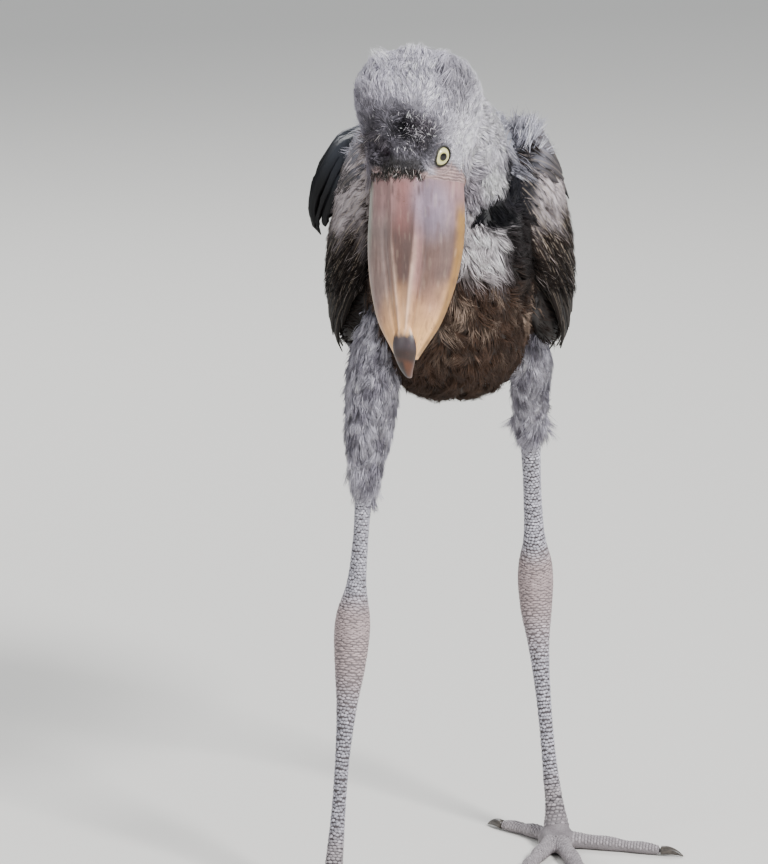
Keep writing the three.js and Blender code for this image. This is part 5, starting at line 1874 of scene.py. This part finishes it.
def legPlates(side, leg):
    table, shape = smooth(legRows(leg)), limbShape(legRows(leg))
    number = numberOf("leg", side)
    rows, v = [], 0.01
    while v < 0.985:
        at = table(v)[0]
        hock, nearFoot = float(onHock(at[2])), float(fade(75, 45, at[2]))
        high = scaleSet["high"] * (1 - 0.25 * hock) * draw.uniform(0.92, 1.08)
        wide = scaleSet["wide"] * (1 + 0.9 * hock + 0.5 * nearFoot)
        girth = 2 * np.pi * math.sqrt((at[3] ** 2 + at[4] ** 2) / 2)
        count = max(9, int(round(girth / wide)))
        u = (np.arange(count) + 0.5 * (len(rows) % 2) + draw.normal(0, 0.06, count)) / count
        place = shape(u, np.full(count, v) + draw.normal(0, 0.0012, count), 0.2)
        axis = headingOf(table, v)[0]
        outwards = unit(place - at[:3] - ((place - at[:3]) @ axis)[:, None] * axis)
        # Painted light: the left leg's plates are lighter than the right's, on the side that the light falls on
        tone = np.tile(toLinear("#9f9da6") * (1.22 if side == "left" else 1.0), (count, 1))
        tone = blend(blend(tone, "#a59494", hock), "#968f92", nearFoot)
        rows.append({
            "centre": place, "out": outwards,
            "along": np.tile(axis, (count, 1)), "aside": np.cross(axis, outwards),
            "high": np.full(count, high * 1.04), "wide": np.full(count, girth / count * 1.02),
            "rise": np.full(count, scaleSet["rise"] * (1 - 0.35 * hock)),
            "tone": tone * np.exp(draw.normal(0, 0.2 - 0.1 * hock, count))[:, None],
            "tile": unwrapPlace(number, u % 1, np.full(count, v)),
        })
        v += high / scaleSet["legLength"]
    return rows


def toePlates(side, leg, spec):
    toe = toeShape(leg["foot"], spec)
    count, inRows = scaleSet["acrossToe"], int((spec[1] - 8) / scaleSet["toeRow"])
    plates = []
    for row in range(inRows):
        t = 0.02 + 0.96 * row / inRows
        halfWidth, height = toeRows(t)[0]
        u = (np.arange(count) + 0.5 * (row % 2) - 0.25) / (count - 0.5) * 0.46 + 0.02
        place = toe(u, np.full(count, t), 0.1)
        line, out = toeLine(leg["foot"], spec, np.full(count, t))
        outwards = alongSkin(place - line - zAxis * height, out)
        keep = (place[:, 2] > 2.5) & (np.linalg.norm(place[:, :2] - np.array(leg["foot"]), axis=1) > 16)
        kept = int(keep.sum())
        if not kept:
            continue
        plates.append({
            "centre": place[keep], "out": outwards[keep],
            "along": out[keep], "aside": np.cross(out, outwards)[keep],
            "high": np.full(kept, scaleSet["toeHigh"]),
            "wide": np.full(kept, np.pi * halfWidth * 0.92 / count * 1.3),
            "rise": np.full(kept, scaleSet["toeRise"]),
            "tone": np.tile(toLinear("#989194"), (kept, 1)) * np.exp(draw.normal(0, 0.1, kept))[:, None],
            "tile": unwrapPlace(numberOf("leg", side), u[keep], np.full(kept, t)),
        })
    return plates


def makeScales():
    keratin = scaleMaterial()
    turn = np.linspace(0, 2 * np.pi, 6, endpoint=False)
    rim = np.column_stack([np.cos(turn), np.sin(turn)])
    pattern = np.concatenate([rim * 0.0015, rim * 0.0009, [[0.0002, 0.0001]]])
    for side, leg in legTables.items():
        rows = legPlates(side, leg)
        for spec in leg["toes"].values():
            rows += toePlates(side, leg, spec)
        plates = joinedArrays(rows)
        # The plates are set on the skin as it came out of the remesh
        nearest = nearestIn(skinTree, placed(plates["centre"]))
        normal = facts["normals"][nearest]
        gap = ((toBird(facts["points"][nearest]) - plates["centre"]) * normal).sum(axis=1)
        plates["centre"] = plates["centre"] + normal * np.clip(gap, -2.5, 2.5)[:, None]
        plates["out"] = unit(plates["out"] + normal)
        plates["along"] = alongSkin(plates["along"], plates["out"])
        plates["aside"] = np.cross(plates["along"], plates["out"])
        points, faces = plateMesh(plates)
        piece = meshFromArrays(f"legScales_{side}", placed(points), faces)
        tones = plates["tone"][:, None] * platePaintedShade[None, :, None]
        paint(piece.data, "coatColour", np.clip(tones.reshape(-1, 3), 0, tuftSet["brightest"]))
        uv = plates["tile"][:, None] + pattern[None]
        setMap(piece.data, "OFBake", uv.reshape(-1, 2)[faces.ravel()])
        inEditMode(piece, lambda: bpy.ops.mesh.normals_make_consistent(inside=False))
        dress(piece, keratin, "leg_skin")
        print(piece.name, len(faces), "triangles")


makeScales()

# Claws: t, half width, half height, height over the floor
clawRows = smooth([[0, 4.4, 4.1, 4.8], [0.3, 4.0, 3.9, 5.2], [0.55, 3.1, 3.1, 4.8], [0.8, 1.9, 1.9, 3.2],
                   [1, 0.5, 0.5, 1]])


def clawShape(foot, spec):
    def shape(u, v):
        halfWidth, height, z = clawRows(v).T
        place, out = toeLine(foot, spec, np.ones(len(v)))
        across = np.column_stack([-out[:, 1], out[:, 0], out[:, 2]])
        centre = place + out * (-1.5 + 21.5 * v)[:, None]
        centre[:, 2] = z
        shrink = closing(v, 0.02)
        ring = ringPlaces(u, centre, across, zAxis, halfWidth * shrink, height * shrink)
        ring[:, 2] = np.maximum(ring[:, 2], 0)
        return ring

    return shape


def makeClaws():
    keratin = clawMaterial()
    for side, leg in legTables.items():
        for digit, spec in leg["toes"].items():
            piece = wrapped(f"clawHorn_{side}_{digit}", clawShape(leg["foot"], spec), 24, 24)
            shadeSmooth(piece.data)
            dress(piece, keratin, "claw_horn", f"claw_{side}_{digit}")


makeClaws()
print("claws made")

# Stage: plain pale floor and soft light
def stageMaterial():
    material, tree, shader = newMaterial("paleFloor")
    setInputs(shader, Base_Color=(*toLinear("#e6e4df"), 1), Roughness=0.9)
    return material


def makeStage():
    deselectAll()
    bpy.ops.mesh.primitive_plane_add(size=60, location=(0, 0, 0))
    floor = bpy.context.object
    floor.name = "floor"
    floor.data.materials.append(stageMaterial())
    world = bpy.data.worlds.new("softRoom")
    bpy.context.scene.world = world
    world.use_nodes = True
    world.node_tree.nodes["Background"].inputs["Color"].default_value = (*toLinear("#e9edf2"), 1)
    world.node_tree.nodes["Background"].inputs["Strength"].default_value = 0.62
    lights = [
        {"name": "keyLight", "place": (2.3, -2.9, 3.0), "size": 1.1, "power": 325},
        {"name": "fillLight", "place": (-2.8, -2.6, 1.9), "size": 2.4, "power": 40},
        {"name": "backLight", "place": (-0.8, 2.8, 2.6), "size": 1.6, "power": 70},
    ]
    for item in lights:
        data = bpy.data.lights.new(item["name"], "AREA")
        data.shape = "DISK"
        data.size = item["size"]
        data.energy = item["power"]
        light = bpy.data.objects.new(item["name"], data)
        light.location = item["place"]
        aim = Vector((0, 0, 0.45)) - light.location
        light.rotation_euler = aim.to_track_quat("-Z", "Y").to_euler()
        bpy.context.scene.collection.objects.link(light)


makeStage()
